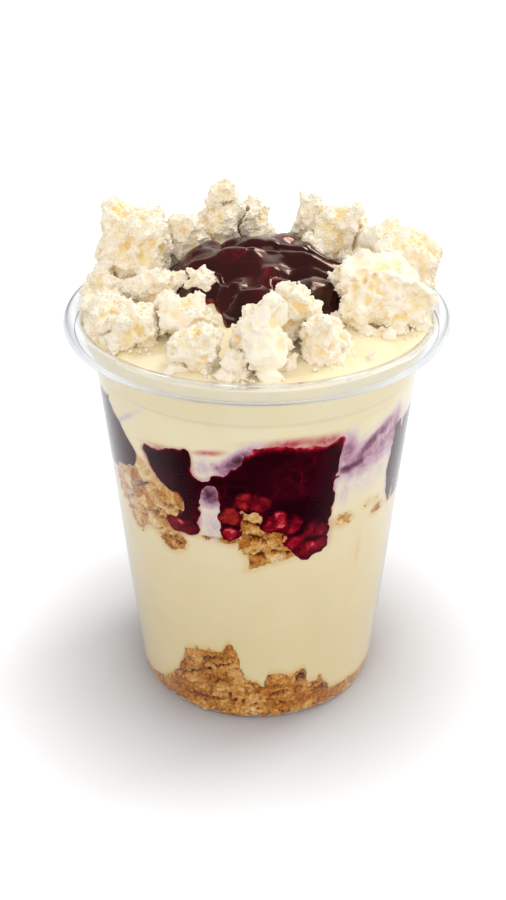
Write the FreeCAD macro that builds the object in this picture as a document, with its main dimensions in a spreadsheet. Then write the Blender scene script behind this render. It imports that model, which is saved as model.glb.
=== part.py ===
import FreeCAD, Part
import itertools
import math
import os
import random
import Sketcher

# A clear take-away cup, filled to the rim with a layered dessert: biscuit crumbs, cream, more
# crumbs, dark berry compote and cream again, with a compote pool and broken meringue on top.
# The cup stands on its foot ring, its axis is Z, and the side with the drips faces -Y.
# Azimuths are degrees seen from above, from the front (-Y) and positive towards +X.

doc = FreeCAD.newDocument("LayeredDessertCup")

# ---------------------------------------------------------------- driving dimensions

SIZES = (
    ("rim_diameter", 98.0, "outside of the rolled rim"),
    ("cup_height", 108.9, "from the foot ring to the crest of the rim"),
    ("base_diameter", 66.0, "outside of the wall, run down to the table"),
    ("neck_inset", 7.4, "from the rim's outside in to the cone's top"),
    ("neck_depth", 13.4, "from the crest down to the ledge of the neck"),
    ("neck_ledge", 0.5, "step outwards under the neck"),
    ("wall", 0.6, "thickness of the formed sheet"),
    ("bead_radius", 2.6, "outside radius of the rim's curl"),
    ("curl_end", 100.0, "how far the curl turns under, below its widest point, in degrees"),
    ("base_corner", 2.5, "outside radius between foot and wall"),
    ("foot_width", 4.5, "width of the flat foot ring"),
    ("foot_recess", 1.2, "height of the raised floor inside the foot ring"),
    ("recess_slope", 1.0, "run of the slope up to the raised floor"),
    ("fill_gap", 2.8, "from the crest down to the cream at the wall"),
    ("crumb_base_level", 5.5, "height of the lowest crumbs above the table, away from their heaps"),
    ("crumb_middle_drop", 49.9, "from the crest down to the underside of the middle crumbs"),
    ("crumb_middle_depth", 2.5, "depth of the middle crumbs away from their heaps"),
    ("compote_top_drop", 20.9, "from the crest down to the top of the compote layer"),
    ("thin_layer", 0.5, "depth of a layer where it thins out to a smear"),
    ("cream_swell", 10.5, "how far the cream bulges above its level at the wall"),
    ("cream_swell_width", 22.0, "spread of that bulge from side to side"),
    ("cream_swell_length", 18.0, "spread of that bulge from front to back"),
    ("cream_swell_back", 13.0, "how far behind the axis the bulge peaks"),
    ("pool_width", 47.0, "compote pool from side to side"),
    ("pool_length", 37.0, "compote pool from front to back, without its tongue"),
    ("pool_tongue", 7.0, "how far its tongue runs on towards the front"),
    ("pool_back", 9.5, "how far behind the axis the pool is centred"),
    ("pool_heap", 4.6, "how far the pool stands above the cream"),
    ("pool_sink", 2.0, "how deep the pool lies in the cream"),
    ("meringue_sink", 0.8, "how deep the meringue is pressed in"),
)

sheet = doc.addObject("Spreadsheet::Sheet", "Sizes")
for row, (alias, value, note) in enumerate(SIZES, start=1):
    sheet.set(f"A{row}", alias)
    sheet.set(f"B{row}", str(value))
    sheet.set(f"C{row}", note)
    sheet.setAlias(f"B{row}", alias)
doc.recompute()


def size(alias):
    return float(getattr(sheet, alias))


# ---------------------------------------------------------------- the cup's profile

# Corners of the wall's section as (radius, height), each written once and used both for the
# cup's sketch and for what fills the cup.
RIM = "Sizes.rim_diameter / 2"
NECK = f"({RIM} - Sizes.neck_inset)"
LEDGE_LEVEL = "(Sizes.cup_height - Sizes.neck_depth)"
CURL_RADIUS = f"({RIM} - Sizes.bead_radius)"
CURL_LEVEL = "(Sizes.cup_height - Sizes.bead_radius)"
FOOT = "(Sizes.base_diameter / 2 - Sizes.base_corner)"
DRAFT = f"({NECK} - Sizes.base_diameter / 2) / {LEDGE_LEVEL}"
CORNER_TOP = f"(Sizes.base_diameter / 2 + Sizes.base_corner * {DRAFT})"
SHEET_RADIUS = "(Sizes.bead_radius - Sizes.wall)"

CORNERS = {
    "floor_middle": ("0", "Sizes.foot_recess + Sizes.wall"),
    "floor_edge": (
        f"{FOOT} - Sizes.foot_width - Sizes.recess_slope",
        "Sizes.foot_recess + Sizes.wall",
    ),
    "channel_inside": (f"{FOOT} - Sizes.foot_width", "Sizes.wall"),
    "channel_outside": (FOOT, "Sizes.wall"),
    "bore_bottom": (f"{CORNER_TOP} - Sizes.wall", "Sizes.base_corner"),
    "bore_top": (f"{NECK} - Sizes.wall", LEDGE_LEVEL),
    "neck_bore": (
        f"{NECK} + Sizes.neck_ledge - Sizes.wall",
        f"{LEDGE_LEVEL} + Sizes.neck_ledge",
    ),
    "mouth": (f"{CURL_RADIUS} - Sizes.bead_radius", CURL_LEVEL),
    "curl_tip_outside": (
        f"{CURL_RADIUS} + Sizes.bead_radius * cos(Sizes.curl_end)",
        f"{CURL_LEVEL} - Sizes.bead_radius * sin(Sizes.curl_end)",
    ),
    "curl_tip_inside": (
        f"{CURL_RADIUS} + {SHEET_RADIUS} * cos(Sizes.curl_end)",
        f"{CURL_LEVEL} - {SHEET_RADIUS} * sin(Sizes.curl_end)",
    ),
    "neck_top": (f"{CURL_RADIUS} - {SHEET_RADIUS}", CURL_LEVEL),
    "neck_bottom": (f"{NECK} + Sizes.neck_ledge", f"{LEDGE_LEVEL} + Sizes.neck_ledge"),
    "cone_top": (NECK, LEDGE_LEVEL),
    "cone_bottom": (CORNER_TOP, "Sizes.base_corner"),
    "foot_outside": (FOOT, "0"),
    "foot_inside": (f"{FOOT} - Sizes.foot_width", "0"),
    "recess_edge": (f"{FOOT} - Sizes.foot_width - Sizes.recess_slope", "Sizes.foot_recess"),
    "recess_middle": ("0", "Sizes.foot_recess"),
}
# Round stretches from one corner to the next: (radius, how its centre is found).
ROUNDS = {
    "channel_outside": ("Sizes.base_corner - Sizes.wall", "left"),
    "mouth": ("Sizes.bead_radius", "curl"),
    "curl_tip_inside": (SHEET_RADIUS, "curl"),
    "cone_bottom": ("Sizes.base_corner", "right"),
}


def number(expression):
    return float(sheet.evalExpression(expression))


corner = {name: (number(radius), number(level)) for name, (radius, level) in CORNERS.items()}


def arc_centre(start, end, radius, way):
    """The centre of the arc that leads from start to end, on the named side of its chord."""
    if way == "curl":
        return number(CURL_RADIUS), number(CURL_LEVEL)
    run, rise = end[0] - start[0], end[1] - start[1]
    chord = math.hypot(run, rise)
    offset = math.sqrt(radius**2 - chord**2 / 4) * (1 if way == "left" else -1)
    middle = ((start[0] + end[0]) / 2, (start[1] + end[1]) / 2)
    return middle[0] - rise / chord * offset, middle[1] + run / chord * offset


def add_round(sketch, start, end, radius, way):
    """Adds an arc and says which of its ends is the start: arcs run anticlockwise."""
    centre = arc_centre(start, end, radius, way)
    first = math.atan2(start[1] - centre[1], start[0] - centre[0])
    last = math.atan2(end[1] - centre[1], end[0] - centre[0])
    clockwise = way == "right" or (way == "curl" and start[0] < end[0])
    if clockwise:
        first, last = last, first
    while last < first:
        last += 2 * math.pi
    circle = Part.Circle(FreeCAD.Vector(*centre, 0), FreeCAD.Vector(0, 0, 1), radius)
    edge = sketch.addGeometry(Part.ArcOfCircle(circle, first, last), False)
    return edge, (2, 1) if clockwise else (1, 2)


def make_cup():
    """The cup is one turned shell, from the floor up the wall, over the curl and back down."""
    body = doc.addObject("PartDesign::Body", "CupBody")
    body.Label = "cup"
    sketch = body.newObject("Sketcher::SketchObject", "CupProfile")
    planes = {item.Role: item for item in body.Origin.OriginFeatures}
    sketch.AttachmentSupport = [(planes["XZ_Plane"], "")]
    sketch.MapMode = "FlatFace"
    names = list(CORNERS)
    edges = []
    for index, name in enumerate(names):
        start, end = corner[name], corner[names[(index + 1) % len(names)]]
        if name in ROUNDS:
            radius, way = ROUNDS[name]
            edge, ends = add_round(sketch, start, end, number(radius), way)
            place = sketch.addConstraint(Sketcher.Constraint("Radius", edge, number(radius)))
            sketch.setExpression(f"Constraints[{place}]", radius)
        else:
            line = Part.LineSegment(FreeCAD.Vector(*start, 0), FreeCAD.Vector(*end, 0))
            edge, ends = sketch.addGeometry(line, False), (1, 2)
        edges.append((edge, ends))
    for index, name in enumerate(names):
        edge, (first, _) = edges[index]
        before, (_, last) = edges[index - 1]
        sketch.addConstraint(Sketcher.Constraint("Coincident", before, last, edge, first))
        for kind, expression, value in zip(("DistanceX", "DistanceY"), CORNERS[name], corner[name]):
            if expression == "0":
                # A corner on the axis or on the table is held there without a distance.
                line = -2 if kind == "DistanceX" else -1
                sketch.addConstraint(Sketcher.Constraint("PointOnObject", edge, first, line))
                continue
            place = sketch.addConstraint(Sketcher.Constraint(kind, -1, 1, edge, first, value))
            sketch.setExpression(f"Constraints[{place}]", expression)
    doc.recompute()
    turned = body.newObject("PartDesign::Revolution", "CupShell")
    turned.Profile = sketch
    turned.ReferenceAxis = (sketch, ["V_Axis"])
    turned.Angle = 360
    sketch.Visibility = False
    doc.recompute()
    return body


# ---------------------------------------------------------------- the layers

# Azimuths of the wall's stations: close together where the layers' edges drip and step at the
# front, and wide apart round the back.
FRONT_EDGE, FRONT_STEP, BACK_STEP = 65.0, 2.5, 10.0
RING_STEP = 30.0
AVERAGE_STEP = 5
DEEP_RING, SHALLOW_RING = 0.5, 0.88
CREAM_TOP_SHARES = (0.93, 0.82, 0.68, 0.52, 0.35, 0.18)
# The cream's swell dies away towards the wall with this power of the distance from the axis.
SWELL_POWER = 4
MERGE_DIGITS, MESH_TOLERANCE = 6, 1e-6


def stations():
    front = round(2 * FRONT_EDGE / FRONT_STEP)
    back = round((360 - 2 * FRONT_EDGE) / BACK_STEP)
    places = [-FRONT_EDGE + index * FRONT_STEP for index in range(front)]
    return places + [FRONT_EDGE + index * BACK_STEP for index in range(back)]


def smooth_step(share):
    share = min(max(share, 0.0), 1.0)
    return share * share * (3 - 2 * share)


def stretch(azimuth, first, last, edge):
    """1 between two azimuths and 0 elsewhere, with soft edges of the given width."""
    middle, half = (first + last) / 2, (last - first) / 2
    away = abs((azimuth - middle + 180) % 360 - 180)
    return smooth_step((half + edge / 2 - away) / edge)


def heaped(level, heaps, azimuth):
    """A level with heaps, each (first azimuth, last azimuth, soft edge, rise)."""
    return level + sum(rise * stretch(azimuth, *span) for *span, rise in heaps)


CRUMB_BASE_HEAPS = (
    (-42, 33, 8, 6.0),
    (-34, -7, 5, 12.0),
    (-14, -9, 4, 3.5),
    (5, 22, 3, 5.5),
    (95, 150, 18, 9.0),
    (195, 245, 16, 12.0),
)
CRUMB_MIDDLE_SAGS = (
    (-70, -28, 4, -4.0),
    (-7, 14, 3, -6.0),
    (16, 28, 3, -2.5),
    (29, 57, 2, 20.0),
    (100, 160, 14, -5.0),
    (205, 250, 14, -3.0),
)
CRUMB_MIDDLE_HEAPS = (
    (-75, -40, 5, 15.0),
    (-50, -42, 5, 4.0),
    (-40, -33, 3, 14.5),
    (-33, -27, 3, 8.0),
    (-8, 3, 3, 14.0),
    (3, 11, 3, 8.0),
    (11, 18, 3, 2.5),
    (17, 57, 3, -2.5),
    (90, 170, 18, 10.0),
    (200, 255, 18, 12.0),
)
COMPOTE_TOP_SAGS = (
    (-92, -62, 8, 4.0),
    (-58, -46, 8, -6.0),
    (-46, -22, 4, -3.0),
    (-22, -12, 2.5, -40.0),
    (-1, 29, 3, 2.0),
    (29, 57, 2.5, -40.0),
    (57, 66, 3, -3.0),
    (120, 175, 20, -5.0),
)


def crumb_base_top(azimuth):
    return heaped(size("crumb_base_level"), CRUMB_BASE_HEAPS, azimuth)


def crumb_middle_bottom(azimuth):
    level = size("cup_height") - size("crumb_middle_drop")
    return heaped(level, CRUMB_MIDDLE_SAGS, azimuth)


def crumb_middle_top(azimuth):
    depth = heaped(size("crumb_middle_depth"), CRUMB_MIDDLE_HEAPS, azimuth)
    return crumb_middle_bottom(azimuth) + max(depth, size("thin_layer"))


def compote_layer_top(azimuth):
    level = heaped(size("cup_height") - size("compote_top_drop"), COMPOTE_TOP_SAGS, azimuth)
    return max(level, crumb_middle_top(azimuth) + size("thin_layer"))


def bore_radius(level):
    """The radius of the cup's inside at a level of the cone or the neck."""
    run = [corner[name] for name in ("bore_bottom", "bore_top", "neck_bore", "mouth")]
    for (radius, low), (next_radius, high) in zip(run, run[1:]):
        if level <= high:
            break
    return radius + (next_radius - radius) * (level - low) / (high - low)


def at(azimuth, radius, level):
    turn = math.radians(azimuth)
    return FreeCAD.Vector(radius * math.sin(turn), -radius * math.cos(turn), level)


def even_turn(step):
    return [index * step for index in range(round(360 / step))]


def ring(places, radius, level):
    """A level ring of (azimuth, point)."""
    return [(azimuth % 360, at(azimuth, radius, level)) for azimuth in places]


def average_level(top):
    """The level of an uneven face, averaged all round."""
    levels = [top(azimuth) for azimuth in even_turn(AVERAGE_STEP)]
    return sum(levels) / len(levels)


def relaxed_ring(places, top, share):
    """A ring of an uneven face at a share of the bore, calmer the nearer it is to the axis."""
    average = average_level(top)
    points = []
    for azimuth in places:
        level = average + (top(azimuth) - average) * smooth_step(share)
        points.append((azimuth % 360, at(azimuth, share * bore_radius(level), level)))
    return points


def uneven_face(top):
    """The rings of the uneven face between two layers, from the wall in to the axis."""
    rings = [relaxed_ring(stations(), top, share) for share in (1.0, SHALLOW_RING)]
    rings.append(relaxed_ring(even_turn(RING_STEP), top, DEEP_RING))
    rings.append([(0.0, FreeCAD.Vector(0, 0, average_level(top)))])
    return rings


def stitch(outer, inner):
    """Triangles, facing up, between two rings of (azimuth, point) round the axis."""
    outer, inner = sorted(outer, key=lambda item: item[0]), sorted(inner, key=lambda item: item[0])
    outer.append((outer[0][0] + 360, outer[0][1]))
    inner.append((inner[0][0] + 360, inner[0][1]))
    triangles, i, j = [], 0, 0
    if len(inner) == 2:
        # One point: every triangle meets there.
        return [(a[1], b[1], inner[0][1]) for a, b in zip(outer, outer[1:])]
    while i < len(outer) - 1 or j < len(inner) - 1:
        step_inner = i == len(outer) - 1
        if i < len(outer) - 1 and j < len(inner) - 1:
            step_inner = inner[j + 1][0] < outer[i + 1][0]
        if step_inner:
            triangles.append((outer[i][1], inner[j + 1][1], inner[j][1]))
            j += 1
        else:
            triangles.append((outer[i][1], outer[i + 1][1], inner[j][1]))
            i += 1
    return triangles


def face_up(rings):
    """The triangles of a face made of rings, from its edge in to its middle."""
    triangles = []
    for outer, inner in zip(rings, rings[1:]):
        triangles += stitch(outer, inner)
    return triangles


def side_band(lower, upper):
    """Triangles, facing out, between two rings with the same azimuths, one above the other."""
    triangles = []
    for index in range(len(lower)):
        a, b = lower[index - 1][1], lower[index][1]
        c, d = upper[index][1], upper[index - 1][1]
        triangles += [(a, b, c), (a, c, d)]
    return triangles


def solid_from(triangles):
    """A closed solid with these flat faces."""
    places, corners, facets = {}, [], []
    for triangle in triangles:
        facet = []
        for point in triangle:
            key = tuple(round(part, MERGE_DIGITS) for part in point)
            if key not in places:
                places[key] = len(corners)
                corners.append(point)
            facet.append(places[key])
        if len(set(facet)) == 3:
            facets.append(tuple(facet))
    shell = Part.Shape()
    shell.makeShapeFromMesh((corners, facets), MESH_TOLERANCE)
    solid = Part.Solid(Part.Shell(shell.Faces))
    if solid.Volume < 0:
        solid.reverse()
    return solid


def layer_between(bottom_rings, top_rings, side_rings=()):
    """A layer from one face to the next, its side following the bore by way of side_rings."""
    triangles = [(c, b, a) for a, b, c in face_up(bottom_rings)]
    climb = [bottom_rings[0], *side_rings, top_rings[0]]
    for lower, upper in zip(climb, climb[1:]):
        triangles += side_band(lower, upper)
    triangles += face_up(top_rings)
    return solid_from(triangles)


def floor_rings():
    """What lies on the floor follows it, from the channel over the foot ring to the middle."""
    names = ("channel_outside", "channel_inside", "floor_edge")
    rings = [ring(stations(), *corner[names[0]])]
    rings += [ring(even_turn(RING_STEP / 2), *corner[name]) for name in names[1:]]
    rings.append([(0.0, FreeCAD.Vector(0, 0, corner["floor_middle"][1]))])
    return rings


def corner_rings():
    """The rounded corner between the floor and the bore, as rings on its arc."""
    start, end = corner["channel_outside"], corner["bore_bottom"]
    radius = size("base_corner") - size("wall")
    centre = arc_centre(start, end, radius, "left")
    first = math.atan2(start[1] - centre[1], start[0] - centre[0])
    last = math.atan2(end[1] - centre[1], end[0] - centre[0])
    middle = (first + last) / 2
    half_way = (centre[0] + radius * math.cos(middle), centre[1] + radius * math.sin(middle))
    return [ring(stations(), *half_way), ring(stations(), *end)]


def cream_surface(x, y):
    """The cream's top: level with the rim at the wall, and swelling towards the middle back."""
    level = size("cup_height") - size("fill_gap")
    share = min(math.hypot(x, y) / bore_radius(level), 1.0)
    across = x / size("cream_swell_width")
    along = (y - size("cream_swell_back")) / size("cream_swell_length")
    swell = size("cream_swell") * math.exp(-(across**2 + along**2) / 2)
    return level + swell * (1 - share**SWELL_POWER)


def cream_top_rings():
    level = size("cup_height") - size("fill_gap")
    edge = bore_radius(level)
    rings = [ring(stations(), edge, level)]
    for share in CREAM_TOP_SHARES:
        loop = []
        for azimuth in even_turn(RING_STEP / 2):
            point = at(azimuth, share * edge, level)
            point.z = cream_surface(point.x, point.y)
            loop.append((azimuth, point))
        rings.append(loop)
    rings.append([(0.0, FreeCAD.Vector(0, 0, cream_surface(0, 0)))])
    return rings


def solid_below(rings):
    """The space straight below a face made of rings, down to the neck."""
    floor = corner["neck_bore"][1]
    bottom = [[(azimuth, FreeCAD.Vector(edge.x, edge.y, floor)) for azimuth, edge in rings[0]]]
    bottom.append([(0.0, FreeCAD.Vector(0, 0, floor))])
    return layer_between(bottom, rings)


def neck_rings():
    return [ring(stations(), *corner[name]) for name in ("bore_top", "neck_bore")]


# ---------------------------------------------------------------- the compote pool

POOL_STEP = 15.0
# Lobes of the pool's edge: (how many go round, share of the reach, phase).
POOL_LOBES = ((5, 0.05, 1.0), (8, 0.04, 2.0))
# The tongue's first and last azimuth and its soft edge.
POOL_TONGUE_SPAN = (-24, -8, 26)
POOL_RIPPLE, RIPPLES_ROUND, RIPPLES_INWARDS = 0.35, 4, 9
POOL_TOP_SHARES, POOL_TOP_POWER = (1.0, 0.93, 0.8, 0.6, 0.35), 3.0
POOL_BOTTOM_SHARES, POOL_BOTTOM_POWER = (1.0, 0.8, 0.4), 4


def pool_reach(azimuth):
    """How far the pool reaches from its own middle: an oval with lobes and a front tongue."""
    turn = math.radians(azimuth)
    half_width, half_length = size("pool_width") / 2, size("pool_length") / 2
    oval = 1 / math.hypot(math.sin(turn) / half_width, math.cos(turn) / half_length)
    lobes = 1 + sum(swing * math.sin(count * turn + phase) for count, swing, phase in POOL_LOBES)
    return oval * lobes + size("pool_tongue") * stretch(azimuth, *POOL_TONGUE_SPAN)


def pool_ring(share, height):
    """A ring of the pool at a share of its reach, at a height above the cream."""
    points = []
    for azimuth in even_turn(POOL_STEP):
        point = at(azimuth, share * pool_reach(azimuth), 0)
        point.y += size("pool_back")
        wave = math.sin(RIPPLES_ROUND * math.radians(azimuth) + RIPPLES_INWARDS * share)
        ripple = POOL_RIPPLE * wave * (1 - share**2)
        point.z = cream_surface(point.x, point.y) + height + ripple
        points.append((azimuth, point))
    return points


def make_pool():
    heap, sink = size("pool_heap"), size("pool_sink")
    middle = FreeCAD.Vector(0, size("pool_back"), cream_surface(0, size("pool_back")))
    top = [pool_ring(share, heap * (1 - share**POOL_TOP_POWER)) for share in POOL_TOP_SHARES]
    top.append([(0.0, middle + FreeCAD.Vector(0, 0, heap))])
    bottom = [pool_ring(share, -sink * (1 - share**POOL_BOTTOM_POWER)) for share in POOL_BOTTOM_SHARES]
    bottom.append([(0.0, middle - FreeCAD.Vector(0, 0, sink))])
    triangles = face_up(top) + [(c, b, a) for a, b, c in face_up(bottom)]
    return solid_from(triangles)


# ---------------------------------------------------------------- the meringue

FINE, COARSE = 2, 1

# Each lump: (azimuth, share of the bore, half width, half depth, height of its foot and of its
# top above the cream at the wall, turn, mesh, flat breaks, knobs). A flat break is (azimuth,
# elevation, share of the half size), and a knob is (azimuth, elevation, reach, radius) in
# millimetres. A foot of None stands on what lies below.
MERINGUE = (
    (-118, 0.81, 11.6, 8.6, None, 24.8, 0, FINE, ((-95, 20, 0.84), (60, 66, 0.88), (100, 10, 0.76)), ()),
    (-101, 0.90, 5.4, 6.2, None, 8.6, 20, FINE, ((-60, 30, 0.8),), ()),
    (-86, 0.88, 5.6, 5.6, None, 7.0, -15, COARSE, (), ()),
    (-91, 0.60, 7.4, 7.0, None, 12.8, 0, FINE, ((-140, 40, 0.85),), ((88, 4, 7.0, 3.4),)),
    (-72, 0.85, 6.2, 5.8, None, 7.4, 30, COARSE, (), ()),
    (-58, 0.80, 6.3, 6.0, None, 9.2, 0, FINE, ((10, 40, 0.85),), ()),
    (-47, 0.58, 8.0, 6.6, None, 11.6, -10, FINE, ((-20, 25, 0.70), (120, 20, 0.9)), ((70, 5, 6.0, 3.2),)),
    (-23, 0.80, 5.8, 5.6, None, 10.6, 0, FINE, ((0, 10, 0.85),), ()),
    (-8, 0.83, 2.9, 2.9, None, 6.2, 0, COARSE, (), ()),
    (2, 0.755, 6.2, 6.4, None, 18.4, 5, FINE, ((38, 16, 0.66), (-40, 20, 0.84)), ((-10, 62, 7.4, 3.4),)),
    (24, 0.50, 5.2, 5.6, None, 15.0, 0, FINE, ((15, 5, 0.86),), ((10, 60, 6.6, 3.6),)),
    (30, 0.72, 5.0, 5.6, None, 12.2, 10, FINE, ((60, 40, 0.85),), ((80, 10, 5.0, 2.8),)),
    (78, 0.70, 13.2, 9.8, None, 16.2, 8, FINE, ((5, 20, 0.80), (95, 40, 0.88)), ((-75, -15, 11.0, 3.2),)),
    (107, 0.85, 11.0, 9.5, None, 19.4, 0, FINE, ((-62, 12, 0.74), (20, 60, 0.92)), ()),
    (153, 0.72, 5.2, 6.0, None, 21.2, 0, FINE, ((-90, 10, 0.85),), ((-20, 74, 8.0, 3.6),)),
    (133, 0.70, 6.4, 6.0, None, 21.6, 0, FINE, ((-60, 45, 0.80),), ((60, 70, 9.2, 2.6),)),
    (-162, 0.76, 6.8, 6.0, None, 18.6, 0, FINE, ((-80, 40, 0.84),), ()),
    (-178, 0.76, 5.4, 5.4, None, 18.4, 0, COARSE, ((90, 30, 0.9),), ()),
    (-139, 0.66, 5.6, 5.6, None, 18.8, 0, COARSE, ((0, 20, 0.85),), ()),
    (-88, 0.32, 4.3, 4.0, None, 12.2, 0, COARSE, (), ()),
    (139, 0.53, 4.2, 3.6, None, 14.4, 0, COARSE, (), ()),
    (121, 0.76, 5.2, 5.0, None, 15.4, 0, COARSE, (), ()),
    (-141, 0.90, 6.2, 4.6, None, 10.0, 30, COARSE, (), ()),
    (141, 0.90, 6.6, 4.8, None, 10.6, -30, COARSE, (), ()),
    (168, 0.89, 4.6, 3.8, None, 5.6, 0, COARSE, (), ()),
    (-163, 0.77, 3.6, 3.4, 15.6, 25.2, 0, COARSE, (), ()),
)
LUMP_POWER = 2.6
LUMP_ROUGHNESS = 0.075
LUMP_WAVES = 4
SHORTEST_WAVE, LONGEST_WAVE = 3.0, 6.5
FULL_TURN = 6.28
# Neighbouring corners of a ball of radius 1 lie closer together than this.
NEIGHBOUR_LIMIT = 1.2


def unit(azimuth, elevation):
    lift = math.radians(elevation)
    return at(azimuth, math.cos(lift), math.sin(lift))


def ball_directions(level):
    """An even net of directions: an icosahedron whose triangles are split level times."""
    golden = (1 + math.sqrt(5)) / 2
    corners = []
    for a in (-1, 1):
        for b in (-golden, golden):
            corners += [(0, a, b), (a, b, 0), (b, 0, a)]
    corners = [FreeCAD.Vector(*corner_place).normalize() for corner_place in corners]
    facets = []
    for points in itertools.combinations(corners, 3):
        pairs = itertools.combinations(points, 2)
        if all((one - other).Length < NEIGHBOUR_LIMIT for one, other in pairs):
            facets.append(points)
    for _ in range(level):
        finer = []
        for a, b, c in facets:
            ab, bc, ca = ((one + other).normalize() for one, other in ((a, b), (b, c), (c, a)))
            finer += [(a, ab, ca), (ab, b, bc), (ca, bc, c), (ab, bc, ca)]
        facets = finer
    return facets


def lump_reach(direction, half, flats, knobs, waves):
    """How far a lump reaches in a direction: a rough box-like ball, knobbed, then broken flat."""
    total = sum(abs(part / extent) ** LUMP_POWER for part, extent in zip(direction, half))
    reach = total ** (-1 / LUMP_POWER)
    for azimuth, elevation, distance, radius in knobs:
        middle = unit(azimuth, elevation) * distance
        along = direction.dot(middle)
        inside = along**2 - middle.Length**2 + radius**2
        if along > 0 and inside > 0:
            reach = max(reach, along + math.sqrt(inside))
    wave = sum(math.sin(direction.dot(way) + phase) for way, phase in waves)
    reach *= 1 + LUMP_ROUGHNESS * wave
    for azimuth, elevation, share in flats:
        normal = unit(azimuth, elevation)
        support = share * math.sqrt(sum((n * extent) ** 2 for n, extent in zip(normal, half)))
        if direction.dot(normal) > 0:
            reach = min(reach, support / direction.dot(normal))
    return reach


def make_lump(index, row):
    azimuth, share, half_width, half_depth, foot, rise, turn, level, flats, knobs = row
    fill = size("cup_height") - size("fill_gap")
    place = at(azimuth, share * bore_radius(fill), 0)
    bottom = cream_surface(place.x, place.y) - size("meringue_sink")
    if foot is not None:
        bottom = fill + foot
    half = (half_width, half_depth, max(fill + rise - bottom, half_width) / 2)
    place.z = bottom + half[2]
    chance = random.Random(index)
    waves = []
    for _ in range(LUMP_WAVES):
        way = FreeCAD.Vector(*(chance.uniform(-1, 1) for _ in range(3))).normalize()
        length = chance.uniform(SHORTEST_WAVE, LONGEST_WAVE)
        waves.append((way * length, chance.uniform(0, FULL_TURN)))
    yaw = FreeCAD.Rotation(FreeCAD.Vector(0, 0, 1), turn)
    triangles = []
    for facet in ball_directions(level):
        points = []
        for direction in facet:
            reach = lump_reach(direction, half, flats, knobs, waves)
            points.append(yaw.multVec(direction * reach) + place)
        triangles.append(points)
    return solid_from(outward(triangles, place))


def outward(triangles, middle):
    """The same triangles, each turned to face away from the middle."""
    turned = []
    for a, b, c in triangles:
        normal = (b - a).cross(c - a)
        turned.append((a, b, c) if normal.dot(a - middle) > 0 else (a, c, b))
    return turned


def largest_solid(shape):
    return max(shape.Solids, key=lambda solid: solid.Volume)


# ---------------------------------------------------------------- the document

def add_part(label, shape):
    feature = doc.addObject("Part::Feature", label)
    feature.Label = label
    feature.Shape = shape
    feature.Placement = FreeCAD.Placement()
    return feature


cup = make_cup()
parts = [cup]

faces = [uneven_face(top) for top in (crumb_base_top, crumb_middle_bottom, crumb_middle_top)]
faces.append(uneven_face(compote_layer_top))
parts.append(add_part("crumb_base", layer_between(floor_rings(), faces[0], corner_rings())))
for label, bottom_face, top_face in zip(
    ("cream_lower", "crumb_middle", "compote_layer"), faces, faces[1:]
):
    parts.append(add_part(label, layer_between(bottom_face, top_face)))

pool = make_pool()
cream = layer_between(faces[-1], cream_top_rings(), neck_rings()).cut(pool)
parts.append(add_part("cream_upper", largest_solid(cream)))
parts.append(add_part("compote_top", pool))

# What each lump rests against: the cream's top, the pool, the rim and the lumps laid before it.
solids_below = [solid_below(cream_top_rings()), pool, cup.Shape]
for index, row in enumerate(MERINGUE, start=1):
    lump = make_lump(index, row)
    for solid in solids_below:
        if solid.BoundBox.intersect(lump.BoundBox):
            lump = largest_solid(lump.cut(solid))
    solids_below.append(lump)
    parts.append(add_part(f"meringue_{index:02d}", lump))

doc.recompute()

# ---------------------------------------------------------------- tests and files

for item in doc.Objects:
    if {"Invalid", "Error"} & set(item.State):
        raise RuntimeError(f"{item.Label} failed: {item.State}")
for part in parts:
    if part.Shape.isNull() or not part.Shape.isValid() or len(part.Shape.Solids) != 1:
        raise RuntimeError(f"{part.Label} has no valid single solid")

os.makedirs("parts", exist_ok=True)
faces_in_all = 0
for part in parts:
    part.Shape.exportStep(f"parts/{part.Label}.step")
    faces_in_all += len(part.Shape.Faces)
    print(f"{part.Label}: {part.Shape.Volume / 1000:.2f} ml, {len(part.Shape.Faces)} faces")
print("faces in all:", faces_in_all)
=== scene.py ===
# %% [markdown]
# # A layered dessert in a clear cup
# The dessert is built up in a take-away cup of thin clear plastic: biscuit crumbs, vanilla cream,
# more crumbs, dark berry compote and cream again, with a pool of compote and broken meringue on
# top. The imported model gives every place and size, and each piece below stands for one of its
# solids. Sizes in this script are in millimetres, and MM turns them into Blender's metres.

import math

import bpy
import numpy as np
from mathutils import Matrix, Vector


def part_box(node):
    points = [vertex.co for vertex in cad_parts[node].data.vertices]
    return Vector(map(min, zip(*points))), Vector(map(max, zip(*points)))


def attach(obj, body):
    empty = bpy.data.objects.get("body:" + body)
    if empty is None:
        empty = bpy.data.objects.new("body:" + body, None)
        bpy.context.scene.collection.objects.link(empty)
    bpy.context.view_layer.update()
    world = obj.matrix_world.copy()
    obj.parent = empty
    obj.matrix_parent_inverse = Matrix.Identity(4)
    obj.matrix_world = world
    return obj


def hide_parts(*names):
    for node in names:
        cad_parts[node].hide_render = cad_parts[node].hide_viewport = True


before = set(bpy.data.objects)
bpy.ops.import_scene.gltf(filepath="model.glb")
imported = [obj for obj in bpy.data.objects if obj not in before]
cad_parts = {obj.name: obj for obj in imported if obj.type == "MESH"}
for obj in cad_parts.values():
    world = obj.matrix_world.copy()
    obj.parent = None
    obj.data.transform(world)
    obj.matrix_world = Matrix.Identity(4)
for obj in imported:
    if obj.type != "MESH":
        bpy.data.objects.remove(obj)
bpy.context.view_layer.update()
MM = 0.001

# %% [markdown]
# ## The camera
# A camera a little over arm's length away, looking down by about thirty degrees, sees both the
# wall of the cup and its top. A real photographer would pick a short telephoto lens for food, so
# that the cup's sides hardly converge, and a lens of about 50 mm on a full frame gives that here.

# %% Camera
LOOK_DOWN = 29.52
DISTANCE = 350.0
AIM_HEIGHT = 66.07


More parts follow.
